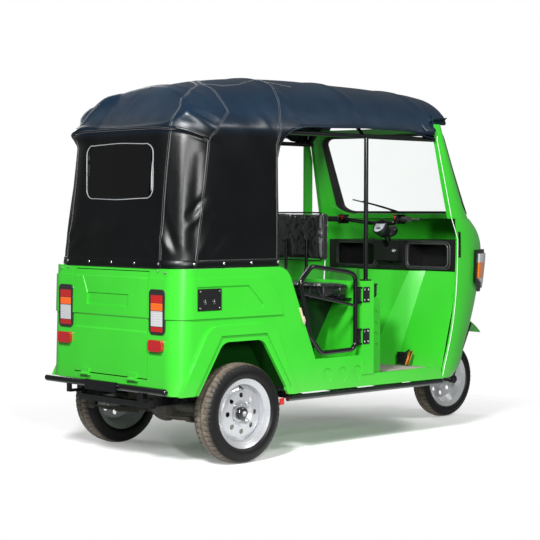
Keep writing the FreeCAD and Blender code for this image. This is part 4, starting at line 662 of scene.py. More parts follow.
stuffed("bench_cushion", 0.008, 0.009, 0.012, (0.25, 0.5, 0.75), 1)
stuffed("bench_backrest", 0.008, 0.009, 0.010, (0.25, 0.5, 0.75), 1)
stuffed("driver_cushion", 0.008, 0.006, 0.010, (), 1)
driver_back = stuffed("driver_backrest", 0.008, 0.006, 0.010, (), 1)
jump_seat = stuffed("jump_cushion", 0.008, 0.006, 0.010, (), 1)
for node, level in (("bench_cushion", 0.012), ("driver_cushion", 0.010),
                    ("jump_cushion", 0.010)):
    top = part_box(node)[1][2]
    piping(node, False, top - level)
piping("driver_backrest", True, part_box("driver_backrest")[0][0] + 0.010)
packed_in_film(driver_back, "driver_backrest", 0.006)
packed_in_film(jump_seat, "jump_cushion", 0.006)

# HOOD. One coated fabric skin, sewn from a roof piece, a rear slope, two corner gores and the
# walls, pulled over the frame's bows and held to the tub's rim by a riveted hem band. Here
# stations are counted from the rear axle.
wear(gloss_powder, "roof_frame")
hood_foot = 0.9626
hood_eave = 1.65
hood_edge_station = 0.245
hood_front_step = 1.452
visor_foot = 1.7335
bow_stations = (-0.10, 0.40, 0.903, 1.44)
to_frame = Vector((rear_axle_x, 0.0, 0.0))
axis_height = 1.45
wall_rows = 52
roof_rows = 44
centre_columns = 26
gore_columns = 22
side_columns = 34
roof_columns = 96


def between(a, b, share):
    """The value a share of the way from a to b."""
    return a + (b - a) * share


def copy_of(*names):
    """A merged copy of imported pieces, to cast rays on."""
    shape = bmesh.new()
    for name in names:
        shape.from_mesh(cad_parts[name].data)
    bmesh.ops.remove_doubles(shape, verts=shape.verts, dist=0.00002)
    return shape


cut_skin = copy_of("hood", "window_film")
skin_rays = BVHTree.FromBMesh(cut_skin)
cut_skin.free()


def onto_skin(point):
    """The place on the hood's outer skin straight out from its inner axis."""
    axis = Vector((max(-0.05, min(1.5, point.x)), 0.0, axis_height))
    away = (point - axis).normalized()
    start = axis + away * 1.6 + to_frame
    hit = skin_rays.ray_cast(start, -away, 1.6)[0]
    if hit is None:
        return point
    return hit - to_frame


def wall_share(height):
    """0 at the hem and 1 at the eave."""
    return (height - hood_foot) / (hood_eave - hood_foot)


def wall_sizes(height):
    """The rear wall's station, half the hood's width and the radius of its rear corners."""
    share = wall_share(height)
    return (between(-0.410, -0.349, share), between(0.508, 0.496, share),
            between(0.165, 0.262, share))


def wall_outline(height, run):
    """The wall's outline seen from above, a run along it from the middle of the rear."""
    rear, half, corner = wall_sizes(height)
    flat = half - corner
    bend = corner * math.pi / 2
    if run < flat:
        return Vector((rear, -run, height))
    if run < flat + bend:
        turn = (run - flat) / corner
        return Vector((rear + corner - corner * math.cos(turn),
                       -(flat + corner * math.sin(turn)), height))
    return Vector((rear + corner + run - flat - bend, -half, height))


def seam_run(height, which):
    """How far along the outline the middle, the two wall seams and the door edge lie."""
    share = wall_share(height)
    rear, half, corner = wall_sizes(height)
    flat = half - corner
    if which == 0:
        return 0.0
    if which == 1:
        return flat + corner * math.radians(between(11.0, 27.0, share))
    if which == 2:
        return flat + corner * math.radians(between(72.5, 69.5, share))
    return flat + corner * math.pi / 2 + hood_edge_station - rear - corner


def eave_height(span, share):
    """The fold under the rear slope, which drops along the gore to the side seam."""
    if span == 0:
        return between(1.643, 1.639, share)
    if span == 1:
        return 1.639 - 0.055 * share ** 1.7
    return between(1.584, 1.50, share)


def along(line, share):
    """A place on a broken line, by its share of the whole length."""
    lengths = [(b - a).length for a, b in zip(line, line[1:])]
    target = sum(lengths) * share
    for a, b, length in zip(line, line[1:], lengths):
        if target <= length:
            return a.lerp(b, target / length)
        target -= length
    return line[-1].copy()


middle_line = [Vector(p) for p in (
    (-0.350, 0.0, 1.643), (-0.272, 0.0, 1.735), (-0.195, 0.0, 1.822), (-0.07, 0.0, 1.862),
    (0.06, 0.0, 1.885))]
slope_seam = [Vector(p) for p in (
    (-0.325, -0.351, 1.639), (-0.263, -0.352, 1.740), (-0.124, -0.264, 1.825),
    (0.005, -0.174, 1.867), (0.11, 0.0, 1.893))]
gore_edge = [Vector(p) for p in (
    (-0.197, -0.482, 1.584), (-0.110, -0.470, 1.660), (-0.030, -0.440, 1.723),
    (-0.018, -0.367, 1.786), (0.019, -0.265, 1.843), (0.03, -0.187, 1.867),
    (0.15, 0.0, 1.90))]
door_edge = [(0.245, 1.500), (0.262, 1.560), (0.300, 1.612), (0.360, 1.648), (0.450, 1.668),
             (0.900, 1.681), (1.200, 1.673), (hood_front_step, 1.641)]


def edge_height(station):
    """The lower edge of the roof over the doors, and of the visor over the screen."""
    if station > hood_front_step:
        return visor_foot
    for (x0, z0), (x1, z1) in zip(door_edge, door_edge[1:]):
        if station <= x1:
            return between(z0, z1, (station - x0) / (x1 - x0))
    return door_edge[-1][1]


def front_station(across_at):
    """Where the visor's bowed front edge lies, by the distance from the middle."""
    return 1.472 + 0.168 * math.sqrt(max(0.0, 1.0 - (across_at / 0.62) ** 2))


def roof_section(share, station):
    """One line of the roof, from its lower edge up to the ridge."""
    low = edge_height(station)
    first = math.atan2(low - axis_height, 0.4965)
    points = []
    for count in range(61):
        angle = between(first, math.pi / 2, count / 60)
        x = station
        for _ in range(2):
            away = Vector((0.0, -math.cos(angle), math.sin(angle)))
            place = onto_skin(Vector((min(x, 1.638), 0.0, axis_height)) + away * 0.5)
            if count == 0:
                place = Vector((x, -wall_sizes(low)[1], low))
            x = between(hood_edge_station, front_station(place.y), share)
        place.x = x
        points.append(place)
    return [along(points, row / roof_rows) for row in range(roof_rows + 1)]


columns = []
spans = ((0, centre_columns), (1, gore_columns), (2, side_columns))
edge_section = roof_section(0.0, hood_edge_station)
for span, count in spans:
    for step_number in range(count + (1 if span == 2 else 0)):
        share = step_number / count
        top = eave_height(span, share)
        column = []
        for row in range(wall_rows):
            height = between(hood_foot, top, row / wall_rows)
            run = between(seam_run(height, span), seam_run(height, span + 1), share)
            column.append(wall_outline(height, run))
        low_lines = (middle_line, slope_seam, gore_edge, edge_section)
        for row in range(roof_rows + 1):
            part = row / roof_rows
            a = along(low_lines[span], part)
            b = along(low_lines[span + 1], part)
            column.append(onto_skin(a.lerp(b, share)))
        column[-1].y = 0.0
        columns.append(column)
first_roof_column = len(columns)
for number in range(1, roof_columns + 1):
    share = number / roof_columns
    station = between(hood_edge_station, 1.575, share)
    section = roof_section(share, station)
    section[-1].y = 0.0
    columns.append([None] * wall_rows + section)

rows = wall_rows + roof_rows + 1
for _ in range(2):
    fresh = {}
    for u in range(1, first_roof_column - 1):
        for v in range(wall_rows + 3, rows - 1):
            near = (columns[u - 1][v] + columns[u + 1][v] + columns[u][v - 1]
                    + columns[u][v + 1]) / 4
            fresh[u, v] = columns[u][v].lerp(near, 0.5)
    for (u, v), place in fresh.items():
        columns[u][v] = place


def fold(point, start, end, width, height):
    """The rise of one soft fold that runs from start to end."""
    run = end - start
    share = max(0.0, min(1.0, (point - start).dot(run) / run.length_squared))
    gap = (point - (start + run * share)).length
    taper = 0.35 + 0.65 * math.sin(math.pi * (0.15 + 0.7 * share))
    return height * taper * math.exp(-(gap / width) ** 2)


wall_folds = [
    ((-0.32, -0.43, 1.57), (-0.345, -0.455, 1.02), 0.034, 0.009),
    ((-0.25, -0.475, 1.50), (-0.30, -0.495, 1.05), 0.026, -0.007),
    ((-0.30, -0.465, 1.22), (-0.225, -0.505, 1.31), 0.016, -0.010),
    ((-0.305, -0.475, 1.17), (-0.235, -0.508, 1.25), 0.018, 0.008),
    ((-0.415, -0.33, 1.17), (-0.375, -0.43, 1.01), 0.018, 0.008),
    ((-0.400, -0.36, 1.25), (-0.365, -0.44, 1.06), 0.018, -0.008),
    ((-0.415, -0.26, 1.10), (-0.395, -0.40, 1.00), 0.020, 0.006),
    ((-0.18, -0.51, 1.20), (-0.27, -0.505, 1.00), 0.020, 0.007),
    ((-0.10, -0.51, 1.14), (-0.24, -0.505, 0.99), 0.020, -0.006),
    ((-0.258, -0.42, 1.740), (-0.150, -0.485, 1.665), 0.016, -0.012),
    ((-0.240, -0.40, 1.765), (-0.120, -0.470, 1.700), 0.022, 0.010),
    ((-0.255, -0.42, 1.700), (-0.170, -0.480, 1.630), 0.022, 0.008),
    ((-0.02, -0.47, 1.66), (0.03, -0.505, 1.40), 0.06, 0.007),
    ((0.16, -0.45, 1.78), (0.21, -0.50, 1.50), 0.03, 0.006),
    ((-0.40, 0.10, 1.16), (-0.40, -0.16, 1.12), 0.05, 0.005),
    ((-0.37, -0.05, 1.61), (-0.365, 0.16, 1.60), 0.018, 0.005),
]
fold_lines = []
for start, end, width, height in wall_folds:
    fold_lines.append((Vector(start), Vector(end), width, height))
    fold_lines.append((Vector((start[0], -start[1], start[2])),
                       Vector((end[0], -end[1] * 0.98, end[2] + 0.012)), width, height * 0.9))


def ramped(value, start, span):
    """From 0 at the start to 1 a span further on."""
    return max(0.0, min(1.0, (value - start) / span))


def cloth_rise(point):
    """How far the fabric stands off its drawn form: bows, sag between them, folds."""
    rise = 0.0
    if point.z > 1.72:
        lift = min(1.0, (point.z - 1.72) / 0.10)
        for station in bow_stations:
            rise += 0.006 * lift * math.exp(-((point.x - station) / 0.028) ** 2)
        rise += 0.004 * lift
    for start, end, width, height in fold_lines:
        if (point - start).length < 0.9:
            rise += fold(point, start, end, width, height)
    if point.y > 0.0:
        corner_share = ramped(point.y, 0.20, 0.20) * ramped(0.12, point.x, 0.3)
        upper = 0.35 * ramped(point.z, 1.36, 0.26)
        upper += 0.85 * ramped(point.z, 1.565, 0.04)
        upper -= 0.92 * ramped(point.z, 1.640, 0.035)
        upper += 0.85 * ramped(point.z, 1.77, 0.04)
        rise += 0.036 * corner_share * upper
    if point.z > 1.66:
        rise += 0.030 * ramped(point.x, 1.0, 0.55) ** 1.4
    rise += 0.0030 * noise.noise(point * 2.6)
    rise += 0.0008 * noise.noise(Vector((point.x * 7.0, point.y * 7.0, point.z * 4.0)))
    return rise * ramped(point.z, hood_foot + 0.045, 0.06)


shape = bmesh.new()
grid = {}
for side_sign in (1, -1):
    for u, column in enumerate(columns):
        for v, place in enumerate(column):
            if place is None:
                continue
            shared = u == 0 or v == rows - 1
            if side_sign == -1 and shared:
                grid[side_sign, u, v] = grid[1, u, v]
                continue
            spot = Vector((place.x, place.y * side_sign, place.z))
            grid[side_sign, u, v] = shape.verts.new(spot)
for side_sign in (1, -1):
    for u in range(len(columns) - 1):
        for v in range(rows - 1):
            corners = [(side_sign, u, v), (side_sign, u + 1, v), (side_sign, u + 1, v + 1),
                       (side_sign, u, v + 1)]
            if all(corner in grid for corner in corners):
                ring = [grid[corner] for corner in corners]
                shape.faces.new(ring if side_sign == 1 else ring[::-1])
shape.normal_update()
lip_columns = centre_columns + gore_columns
lip = {wall_rows - 1: -0.004, wall_rows: 0.008, wall_rows + 1: 0.004}
moves = {}
for (side_sign, u, v), vertex in grid.items():
    rise = cloth_rise(vertex.co)
    if u <= lip_columns:
        rise += lip.get(v, 0.0)
    moves[vertex] = vertex.normal * rise
for vertex, move in moves.items():
    vertex.co += move
    vertex.co.x += rear_axle_x

# The rear window is cut out of the sheet, and the cut edge drawn to a rounded oblong.
window_half = 0.252
window_low = 1.308
window_high = 1.562
window_corner = 0.045
window_squash = 0.6
window_lean = 0.02
window_middle = 1.4345


def window_reach(point):
    """Below 0 inside the window's outline, above 0 outside, in metres."""
    lean = window_lean * (window_high - point.z) / (window_high - window_low)
    dy = abs(point.y + lean + 0.006) - (window_half - window_corner)
    dz = abs(point.z - (window_low + window_high) / 2) - (
        (window_high - window_low) / 2 - window_corner)
    return math.hypot(max(dy, 0.0), max(dz, 0.0)) + min(max(dy, dz), 0.0) - window_corner


def window_edge(turn):
    """A place on the window's outline, on the middle of the rear wall."""
    aim = Vector((0.0, math.cos(turn), math.sin(turn)))
    near, far = 0.0, 0.6
    for _ in range(24):
        middle = (near + far) / 2
        trial = Vector((0.0, aim.y * middle, window_middle + aim.z * middle * window_squash))
        if window_reach(trial) < 0.0:
            near = middle
        else:
            far = middle
    return Vector((0.0, aim.y * near, window_middle + aim.z * near * window_squash))


inside = [face for face in shape.faces
          if face.calc_center_median().x < -1.2 and window_reach(face.calc_center_median()) < 0.0]
bmesh.ops.delete(shape, geom=inside, context="FACES")
for vertex in shape.verts:
    if vertex.is_boundary and vertex.co.x < -1.2 and abs(window_reach(vertex.co)) < 0.03:
        flat_turn = math.atan2((vertex.co.z - window_middle) / window_squash, vertex.co.y)
        edge = window_edge(flat_turn)
        vertex.co.y, vertex.co.z = edge.y, edge.z
bmesh.ops.recalc_face_normals(shape, faces=shape.faces)
hood_mesh = bpy.data.meshes.new("hood_sheet")
shape.to_mesh(hood_mesh)
sheet_rays = BVHTree.FromBMesh(shape)
shape.free()
for polygon in hood_mesh.polygons:
    polygon.use_smooth = True
hood_sheet = bpy.data.objects.new("hood_sheet", hood_mesh)
scene.collection.objects.link(hood_sheet)

vinyl, tree, shader = new_finish("black_hood_vinyl")
place = object_place(tree)
parts = step(tree, "ShaderNodeSeparateXYZ", [(place, "Vector")])
# Painted reflection: above the eave the black vinyl turns navy blue by height, put in as colour
# for the sky mirrored on the upper panels.
height_share = spread(tree, parts.outputs["Z"], 1.60, 1.72, 0.0, 1.0)
cloud = pattern(tree, "Noise", place, Scale=5.0, Detail=5.0)
dark = ramp(tree, cloud, [(0.3, (0.0007, 0.0010, 0.0012)),
                                         (0.7, (0.0012, 0.0016, 0.0019))])
painted_sky_reflection = ramp(tree, cloud, [(0.3, (0.003, 0.011, 0.024)),
                                          (0.7, (0.005, 0.017, 0.034))])
tone = step(tree, "ShaderNodeMix", [(height_share, 0), (dark, 6),
                                    (painted_sky_reflection, 7)], data_type="RGBA")
give(tree, shader, Base_Color=tone.outputs[2])
grain = pattern(tree, "Voronoi", place, Scale=700.0)
creases = pattern(tree, "Noise", place, Scale=16.0, Detail=7.0, Distortion=0.4)
first_relief = bump(tree, creases, 0.35, 0.0035)
relief = bump(tree, grain, 0.5, 0.0002, first_relief)
give(tree, shader, Normal=relief)
gloss = spread(tree, cloud, 0.3, 0.7, 0.30, 0.37)
give(tree, shader, Roughness=gloss, Specular_IOR_Level=0.30)
hood_mesh.materials.append(vinyl)
skin_wall = hood_sheet.modifiers.new("skin_wall", "SOLIDIFY")
skin_wall.thickness = 0.002
skin_wall.offset = -1.0
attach(hood_sheet, "body")
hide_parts("hood")

# WINDOW FILM. One sheet of soft clear film, tinted grey and a little wavy, held behind the
# opening in the rear wall by its welt.


def clear_sheet(name, tint, low, high, ripple):
    """Clear glazing: it lets the tinted view through and mirrors more at a flat angle."""
    material, tree, shader = new_finish(name)
    tree.nodes.remove(shader)
    place = object_place(tree)
    waves = pattern(tree, "Noise", place, Scale=9.0, Detail=3.0)
    relief = bump(tree, waves, 0.6, ripple)
    through = step(tree, "ShaderNodeBsdfTransparent", Color=(*tint, 1.0))
    shine = step(tree, "ShaderNodeBsdfGlossy", [(relief, "Normal")],
                 Roughness=0.04, Color=(1.0, 1.0, 1.0, 1.0))
    facing = step(tree, "ShaderNodeLayerWeight", [(relief, "Normal")],
                  Blend=0.35)
    amount = spread(tree, facing.outputs["Facing"], 0.0, 1.0, low, high)
    blend = step(tree, "ShaderNodeMixShader", [(amount, 0),
                                               (through.outputs["BSDF"], 1),
                                               (shine.outputs["BSDF"], 2)])
    shown(tree, blend)
    return material


wear(clear_sheet("clear_window_film", (0.16, 0.17, 0.17), 0.02, 0.16, 0.004), "window_film")

# HOOD SEAMS. Where the panels meet, one laps over the other and is sewn down with two rows of
# light thread.
hood_thread, tree, shader = new_finish("hood_thread_grey")
place = object_place(tree)
twist = pattern(tree, "Wave", place, Scale=900.0)
tone = ramp(tree, twist, [(0.2, (0.09, 0.09, 0.09)), (0.8, (0.24, 0.24, 0.24))])
give(tree, shader, Base_Color=tone, Roughness=0.7)


def repeat_tree():
    """Puts the stamp on every point, turned by the point's own two directions."""
    group = bpy.data.node_groups.new("repeat_on_spots", "GeometryNodeTree")
    for label, direction, kind in (("Geometry", "INPUT", "NodeSocketGeometry"),
                                   ("Stamp", "INPUT", "NodeSocketObject"),
                                   ("Size", "INPUT", "NodeSocketFloat"),
                                   ("Finish", "INPUT", "NodeSocketMaterial"),
                                   ("Geometry", "OUTPUT", "NodeSocketGeometry")):
        group.interface.new_socket(label, in_out=direction, socket_type=kind)
    entry = group.nodes.new("NodeGroupInput")
    leave = group.nodes.new("NodeGroupOutput")
    stamp = group.nodes.new("GeometryNodeObjectInfo")
    ups, aheads = (group.nodes.new("GeometryNodeInputNamedAttribute") for _ in range(2))
    for reader, label in ((ups, "up"), (aheads, "ahead")):
        reader.data_type = "FLOAT_VECTOR"
        reader.inputs["Name"].default_value = label
    turn = group.nodes.new("FunctionNodeAxesToRotation")
    turn.primary_axis = "Z"
    turn.secondary_axis = "X"
    put = group.nodes.new("GeometryNodeInstanceOnPoints")
    real = group.nodes.new("GeometryNodeRealizeInstances")
    paint = group.nodes.new("GeometryNodeSetMaterial")
    for source, made, target, wanted in (
            (entry, "Stamp", stamp, "Object"), (ups, "Attribute", turn, "Primary Axis"),
            (aheads, "Attribute", turn, "Secondary Axis"), (entry, "Geometry", put, "Points"),
            (stamp, "Geometry", put, "Instance"), (turn, "Rotation", put, "Rotation"),
            (entry, "Size", put, "Scale"), (put, "Instances", real, "Geometry"),
            (real, "Geometry", paint, "Geometry"), (entry, "Finish", paint, "Material"),
            (paint, "Geometry", leave, "Geometry")):
        group.links.new(source.outputs[made], target.inputs[wanted])
    return group


repeat_on_spots = repeat_tree()


def repeated(name, spots, stamp_shape, material, body, size=1.0):
    """One mesh of a small form set on many spots, each (place, up, ahead)."""
    stamp_mesh = bpy.data.meshes.new(name + "_stamp")
    stamp_shape.to_mesh(stamp_mesh)
    stamp_shape.free()
    for polygon in stamp_mesh.polygons:
        polygon.use_smooth = True
    stamp = bpy.data.objects.new(name + "_stamp", stamp_mesh)
    scene.collection.objects.link(stamp)
    cloud = bpy.data.meshes.new(name + "_spots")
    cloud.from_pydata([tuple(spot[0]) for spot in spots], [], [])
    for label, index in (("up", 1), ("ahead", 2)):
        layer = cloud.attributes.new(label, "FLOAT_VECTOR", "POINT")
        layer.data.foreach_set("vector", [value for spot in spots for value in spot[index]])
    piece = bpy.data.objects.new(name, cloud)
    scene.collection.objects.link(piece)
    repeat = piece.modifiers.new("repeat", "NODES")
    repeat.node_group = repeat_on_spots
    given = {"Stamp": stamp, "Size": size, "Finish": material}
    for item in repeat_on_spots.interface.items_tree:
        if item.in_out == "INPUT" and item.name in given:
            repeat[item.identifier] = given[item.name]
    settle(piece)
    bpy.data.objects.remove(stamp)
    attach(piece, body)
    return piece


def capsule(length, radius):
    """A short thread stitch along X, with closed rounded ends."""
    shape = bmesh.new()
    tube_along(shape, [(-length / 2, 0, 0), (-length * 0.36, 0, radius * 0.9),
                       (length * 0.36, 0, radius * 0.9), (length / 2, 0, 0)], radius, sides=5)
    return shape


def on_cloth(points, spacing):
    """Even places along a line laid on the sheet: (place, normal, ahead)."""
    line = [Vector(point) + to_frame for point in points]
    length = sum((b - a).length for a, b in zip(line, line[1:]))
    count = max(2, int(length / spacing))
    places = []
    for index in range(count + 1):
        spot, normal = sheet_rays.find_nearest(along(line, index / count))[:2]
        if normal.dot(spot - Vector((-0.2, 0.0, 1.3))) < 0:
            normal = -normal
        places.append((spot, normal))
    result = []
    for index, (spot, normal) in enumerate(places):
        near = places[max(0, index - 1)][0]
        far = places[min(count, index + 1)][0]
        result.append((spot, normal, (far - near).normalized()))
    return result


def ribbon(shape, places, half, lift):
    """A thin overlapped strip along places on the cloth, feathered to its edges."""
    rows_made = []
    for spot, normal, ahead in places:
        out = normal.cross(ahead).normalized()
        rows_made.append([shape.verts.new(spot + out * (half * share) + normal * height)
                          for share, height in ((-1.0, 0.0002), (-0.8, lift), (0.8, lift),
                                                (1.0, 0.0002))])
    for near, far in zip(rows_made, rows_made[1:]):
        for k in range(3):
            shape.faces.new((near[k], near[k + 1], far[k + 1], far[k]))


def both(points):
    """A line on the right side and the same line on the left."""
    return [points, [(x, -y, z) for x, y, z in points]]


wall_lines = []
for which in (1, 2):
    line = []
    for count in range(25):
        height_now = between(0.972, 1.632 if which == 1 else 1.575, count / 24)
        spot = wall_outline(height_now, seam_run(height_now, which))
        line.append(tuple(spot))
    wall_lines.extend(both(line))
seam_lines = wall_lines + both([tuple(p) for p in slope_seam]) + both(
    [tuple(p) for p in gore_edge])
eave_line = []
for span, count in spans[:2]:
    for step_number in range(13):
        share = step_number / 12
        top = eave_height(span, share)
        run = between(seam_run(top, span), seam_run(top, span + 1), share)
        eave_line.append(tuple(wall_outline(top, run)))
seam_lines += both(eave_line)
scallop = [(-0.909, -0.167, 1.875), (-0.845, -0.24, 1.864), (-0.739, -0.243, 1.875),
           (-0.575, -0.178, 1.909), (-0.506, -0.218, 1.9), (-0.395, -0.268, 1.883)]
forward_seam = [(-0.522, -0.174, 1.912), (-0.555, -0.3, 1.862), (-0.599, -0.391, 1.794),
                (-0.646, -0.451, 1.723), (-0.707, -0.497, 1.569), (-0.714, -0.507, 0.995)]
for row_line in (scallop, forward_seam):
    seam_lines += both([(x - rear_axle_x, y, z) for x, y, z in row_line])
shape = bmesh.new()
stitch_spots = []
for line in seam_lines:
    places = on_cloth(line, 0.012)
    ribbon(shape, places, 0.007, 0.0016)
    for spot, normal, ahead in on_cloth(line, 0.0085):
        out = normal.cross(ahead).normalized()
        for side_way in (-0.0045, 0.0045):
            stitch_spots.append((spot + out * side_way + normal * 0.0016, normal, ahead))
closed_piece("hood_seam_laps", shape, vinyl, "body")
repeated("hood_stitches", stitch_spots, capsule(0.0058, 0.0007), hood_thread, "body")

# HEM, WELT AND BINDING. A band of the same fabric riveted to the tub's rim, a grey piped welt
# that holds the window film, and a bound edge over the doors and round the front.
welt_outside = 0.013
rear_wall_x = -1.36
welt_grey = coated("welt_grey", (0.20, 0.21, 0.22), (0.30, 0.31, 0.32), rough=(0.3, 0.45))


def dome(radius, height, sides=14):
    """A rivet or screw head that stands on Z = 0."""
    shape = bmesh.new()
    turned(shape, [(-0.001, radius), (height * 0.35, radius * 0.97),
                   (height * 0.75, radius * 0.72), (height, radius * 0.25)],
           (0.0, 0.0, 0.0), (0.0, 0.0, 1.0), count=sides)
    return shape


hem_line = []
full_run = seam_run(0.985, 3)
for count in range(61):
    run = full_run * count / 60
    hem_line.append(tuple(wall_outline(0.985, run)))
shape = bmesh.new()
rivet_spots = []
for line in both(hem_line):
    places = on_cloth(line, 0.01)
    ribbon(shape, places, 0.019, 0.003)
    for number, (spot, normal, ahead) in enumerate(on_cloth(line, 0.168)):
        if number or line is hem_line:
            rivet_spots.append((spot + normal * 0.003, normal, ahead))
closed_piece("hood_hem_band", shape, vinyl, "body")
repeated("hood_rivets", rivet_spots, dome(0.0072, 0.0040), zinc, "body")

shape = bmesh.new()
ring = []
for count in range(96):
    edge = window_edge(2 * math.pi * count / 96)
    out = (edge - Vector((0.0, -window_lean * 0.5, window_middle))).normalized()
    spot = edge + out * welt_outside
    spot.x = rear_wall_x
    ring.append(sheet_rays.find_nearest(spot)[0] + Vector((-0.003, 0.0, 0.0)))
tube_along(shape, ring, 0.0026, closed=True)
closed_piece("hood_window_welt", shape, welt_grey, "body")

shape = bmesh.new()
for sign in (-1, 1):
    rail = []
    for count in range(20):
        height_now = between(0.966, 1.50, count / 19)
        rail.append((hood_edge_station, wall_sizes(height_now)[1] * sign, height_now))
    for count in range(1, 61):
        station = between(hood_edge_station, hood_front_step, count / 60)
        low = edge_height(station)
        rail.append((station, wall_sizes(low)[1] * sign, low))
    line = []
    for point in rail:
        spot = Vector(point) + to_frame
        line.append(sheet_rays.find_nearest(spot)[0])
    tube_along(shape, line, 0.0048)
closed_piece("hood_door_binding", shape, vinyl, "body")

# SCREEN. Curved laminated glass in a black rubber seal, in the green screen frame, with a
# slot-armed wiper on the outside.
wear(clear_sheet("screen_glass", (0.97, 0.985, 0.98), 0.0, 0.07, 0.0004), "windscreen")
seal_rubber = coated("seal_rubber", (0.010, 0.010, 0.010), (0.016, 0.016, 0.016),
                     rough=(0.42, 0.55), scale=300.0)
wear(seal_rubber, "screen_rubber")
wear(gloss_powder, "wiper")

# LAMPS. Moulded black housings on the tail with red, amber and clear lenses in bands, red
# reflectors below them, and clear head lamp covers with an amber strip. The lenses are
# ribbed on the inside and glossy outside.
lamp_across = 0.366
lens_half = 0.044
bowl_across = 0.335
bowl_up = 0.897

lens_plastic, tree, shader = new_finish("lamp_lenses_banded")
place = object_place(tree)
parts = step(tree, "ShaderNodeSeparateXYZ", [(place, "Vector")])
height = parts.outputs["Z"]
side_way = calc(tree, "ABSOLUTE", parts.outputs["Y"])
off_middle = calc(tree, "SUBTRACT", side_way, lamp_across)
inner = within(tree, off_middle, -lens_half, lens_half)
tail = within(tree, parts.outputs["X"], -2.0, 0.0)
inner = calc(tree, "MULTIPLY", inner, tail)
bands = ((0.800, 0.836, (0.40, 0.004, 0.004)), (0.762, 0.797, (0.80, 0.11, 0.004)),
         (0.686, 0.759, (0.46, 0.47, 0.48)), (0.660, 0.683, (0.38, 0.004, 0.004)))
colour = over(tree, (0.60, 0.62, 0.64), tail, (0.010, 0.010, 0.011))
for low, high, tint in bands:
    band = calc(tree, "MULTIPLY", inner, within(tree, height, low, high))
    colour = over(tree, colour, band, tint)
low_down = calc(tree, "MULTIPLY", tail, within(tree, height, 0.50, 0.64))
colour = over(tree, colour, low_down, (0.36, 0.004, 0.006))
ahead_part = within(tree, parts.outputs["X"], 0.0, 2.0)
bowl_place = step(tree, "ShaderNodeCombineXYZ",
                  [(calc(tree, "SUBTRACT", side_way, bowl_across), "X"),
                   (calc(tree, "SUBTRACT", height, bowl_up), "Y")])
from_bulb = step(tree, "ShaderNodeVectorMath", [(bowl_place.outputs["Vector"], 0)],
                 operation="LENGTH").outputs["Value"]
for near, far, tint in ((0.0, 0.062, (0.72, 0.74, 0.77)), (0.062, 0.069, (0.16, 0.16, 0.17)),
                        (0.016, 0.020, (0.20, 0.20, 0.21)), (0.0, 0.016, (0.90, 0.88, 0.80))):
    band = calc(tree, "MULTIPLY", ahead_part, within(tree, from_bulb, near, far))
    colour = over(tree, colour, band, tint)
amber = calc(tree, "MULTIPLY", ahead_part, within(tree, side_way, 0.455, 0.56))
colour = over(tree, colour, calc(tree, "MULTIPLY", amber, within(tree, height, 0.86, 0.95)),
              (0.85, 0.22, 0.02))
give(tree, shader, Base_Color=colour)
ribs = pattern(tree, "Wave", place, Scale=28.0, Distortion=0.0, bands_direction="Z")
cross = pattern(tree, "Wave", place, Scale=34.0, Distortion=0.0, bands_direction="Y")
first = bump(tree, ribs, 0.5, 0.0015)
relief = bump(tree, cross, 0.5, 0.0015, first)
give(tree, shader, Normal=relief, Roughness=0.22, Coat_Weight=1.0, Coat_Roughness=0.03)
wear(lens_plastic, "lamp_lenses")
moulded_black = coated("moulded_black", (0.004, 0.004, 0.0045), (0.006, 0.006, 0.0065),
                       rough=(0.34, 0.46), scale=900.0, height=0.00012)
wear(moulded_black, "headlamps")

# HANDLEBAR. A bent tube with rubber grips, moulded switch blocks with red buttons, and cast
# brake levers ahead of the grips.
wear(gloss_powder, "handlebar")
grip_rubber = coated("grip_rubber", (0.008, 0.008, 0.008), (0.013, 0.013, 0.013),
                     rough=(0.5, 0.65), scale=300.0)
wear(grip_rubber, "grips")
alloy = coated("lever_alloy", (0.05, 0.05, 0.055), (0.09, 0.09, 0.095), rough=(0.25, 0.4),
               metal=0.6)
button_red = coated("button_red", (0.62, 0.02, 0.015), (0.5, 0.015, 0.012), rough=(0.25, 0.35))
switch_black = coated("switch_black", (0.010, 0.010, 0.011), (0.018, 0.018, 0.020),
                      rough=(0.25, 0.4), scale=700.0, height=0.0001)


forwards = Vector((1.0, 0.0, 0.0))
leftwards = Vector((0.0, 1.0, 0.0))
upwards = Vector((0.0, 0.0, 1.0))


def block(shape, centre, forward, upward, size, rounding):
    """A box with rounded edges: size runs along forward, sideways and upward."""
    forward = Vector(forward).normalized()
    upward = (Vector(upward) - forward * Vector(upward).dot(forward)).normalized()
    sideways = upward.cross(forward)
    made = bmesh.ops.create_cube(shape, size=1.0)["verts"]
    edges = list({edge for vertex in made for edge in vertex.link_edges})
    for vertex in made:
        a, b, c = vertex.co
        vertex.co = (Vector(centre) + forward * (a * size[0]) + sideways * (b * size[1])
                     + upward * (c * size[2]))
    bmesh.ops.bevel(shape, geom=edges, offset=rounding, segments=3, profile=0.5,
                    affect="EDGES")


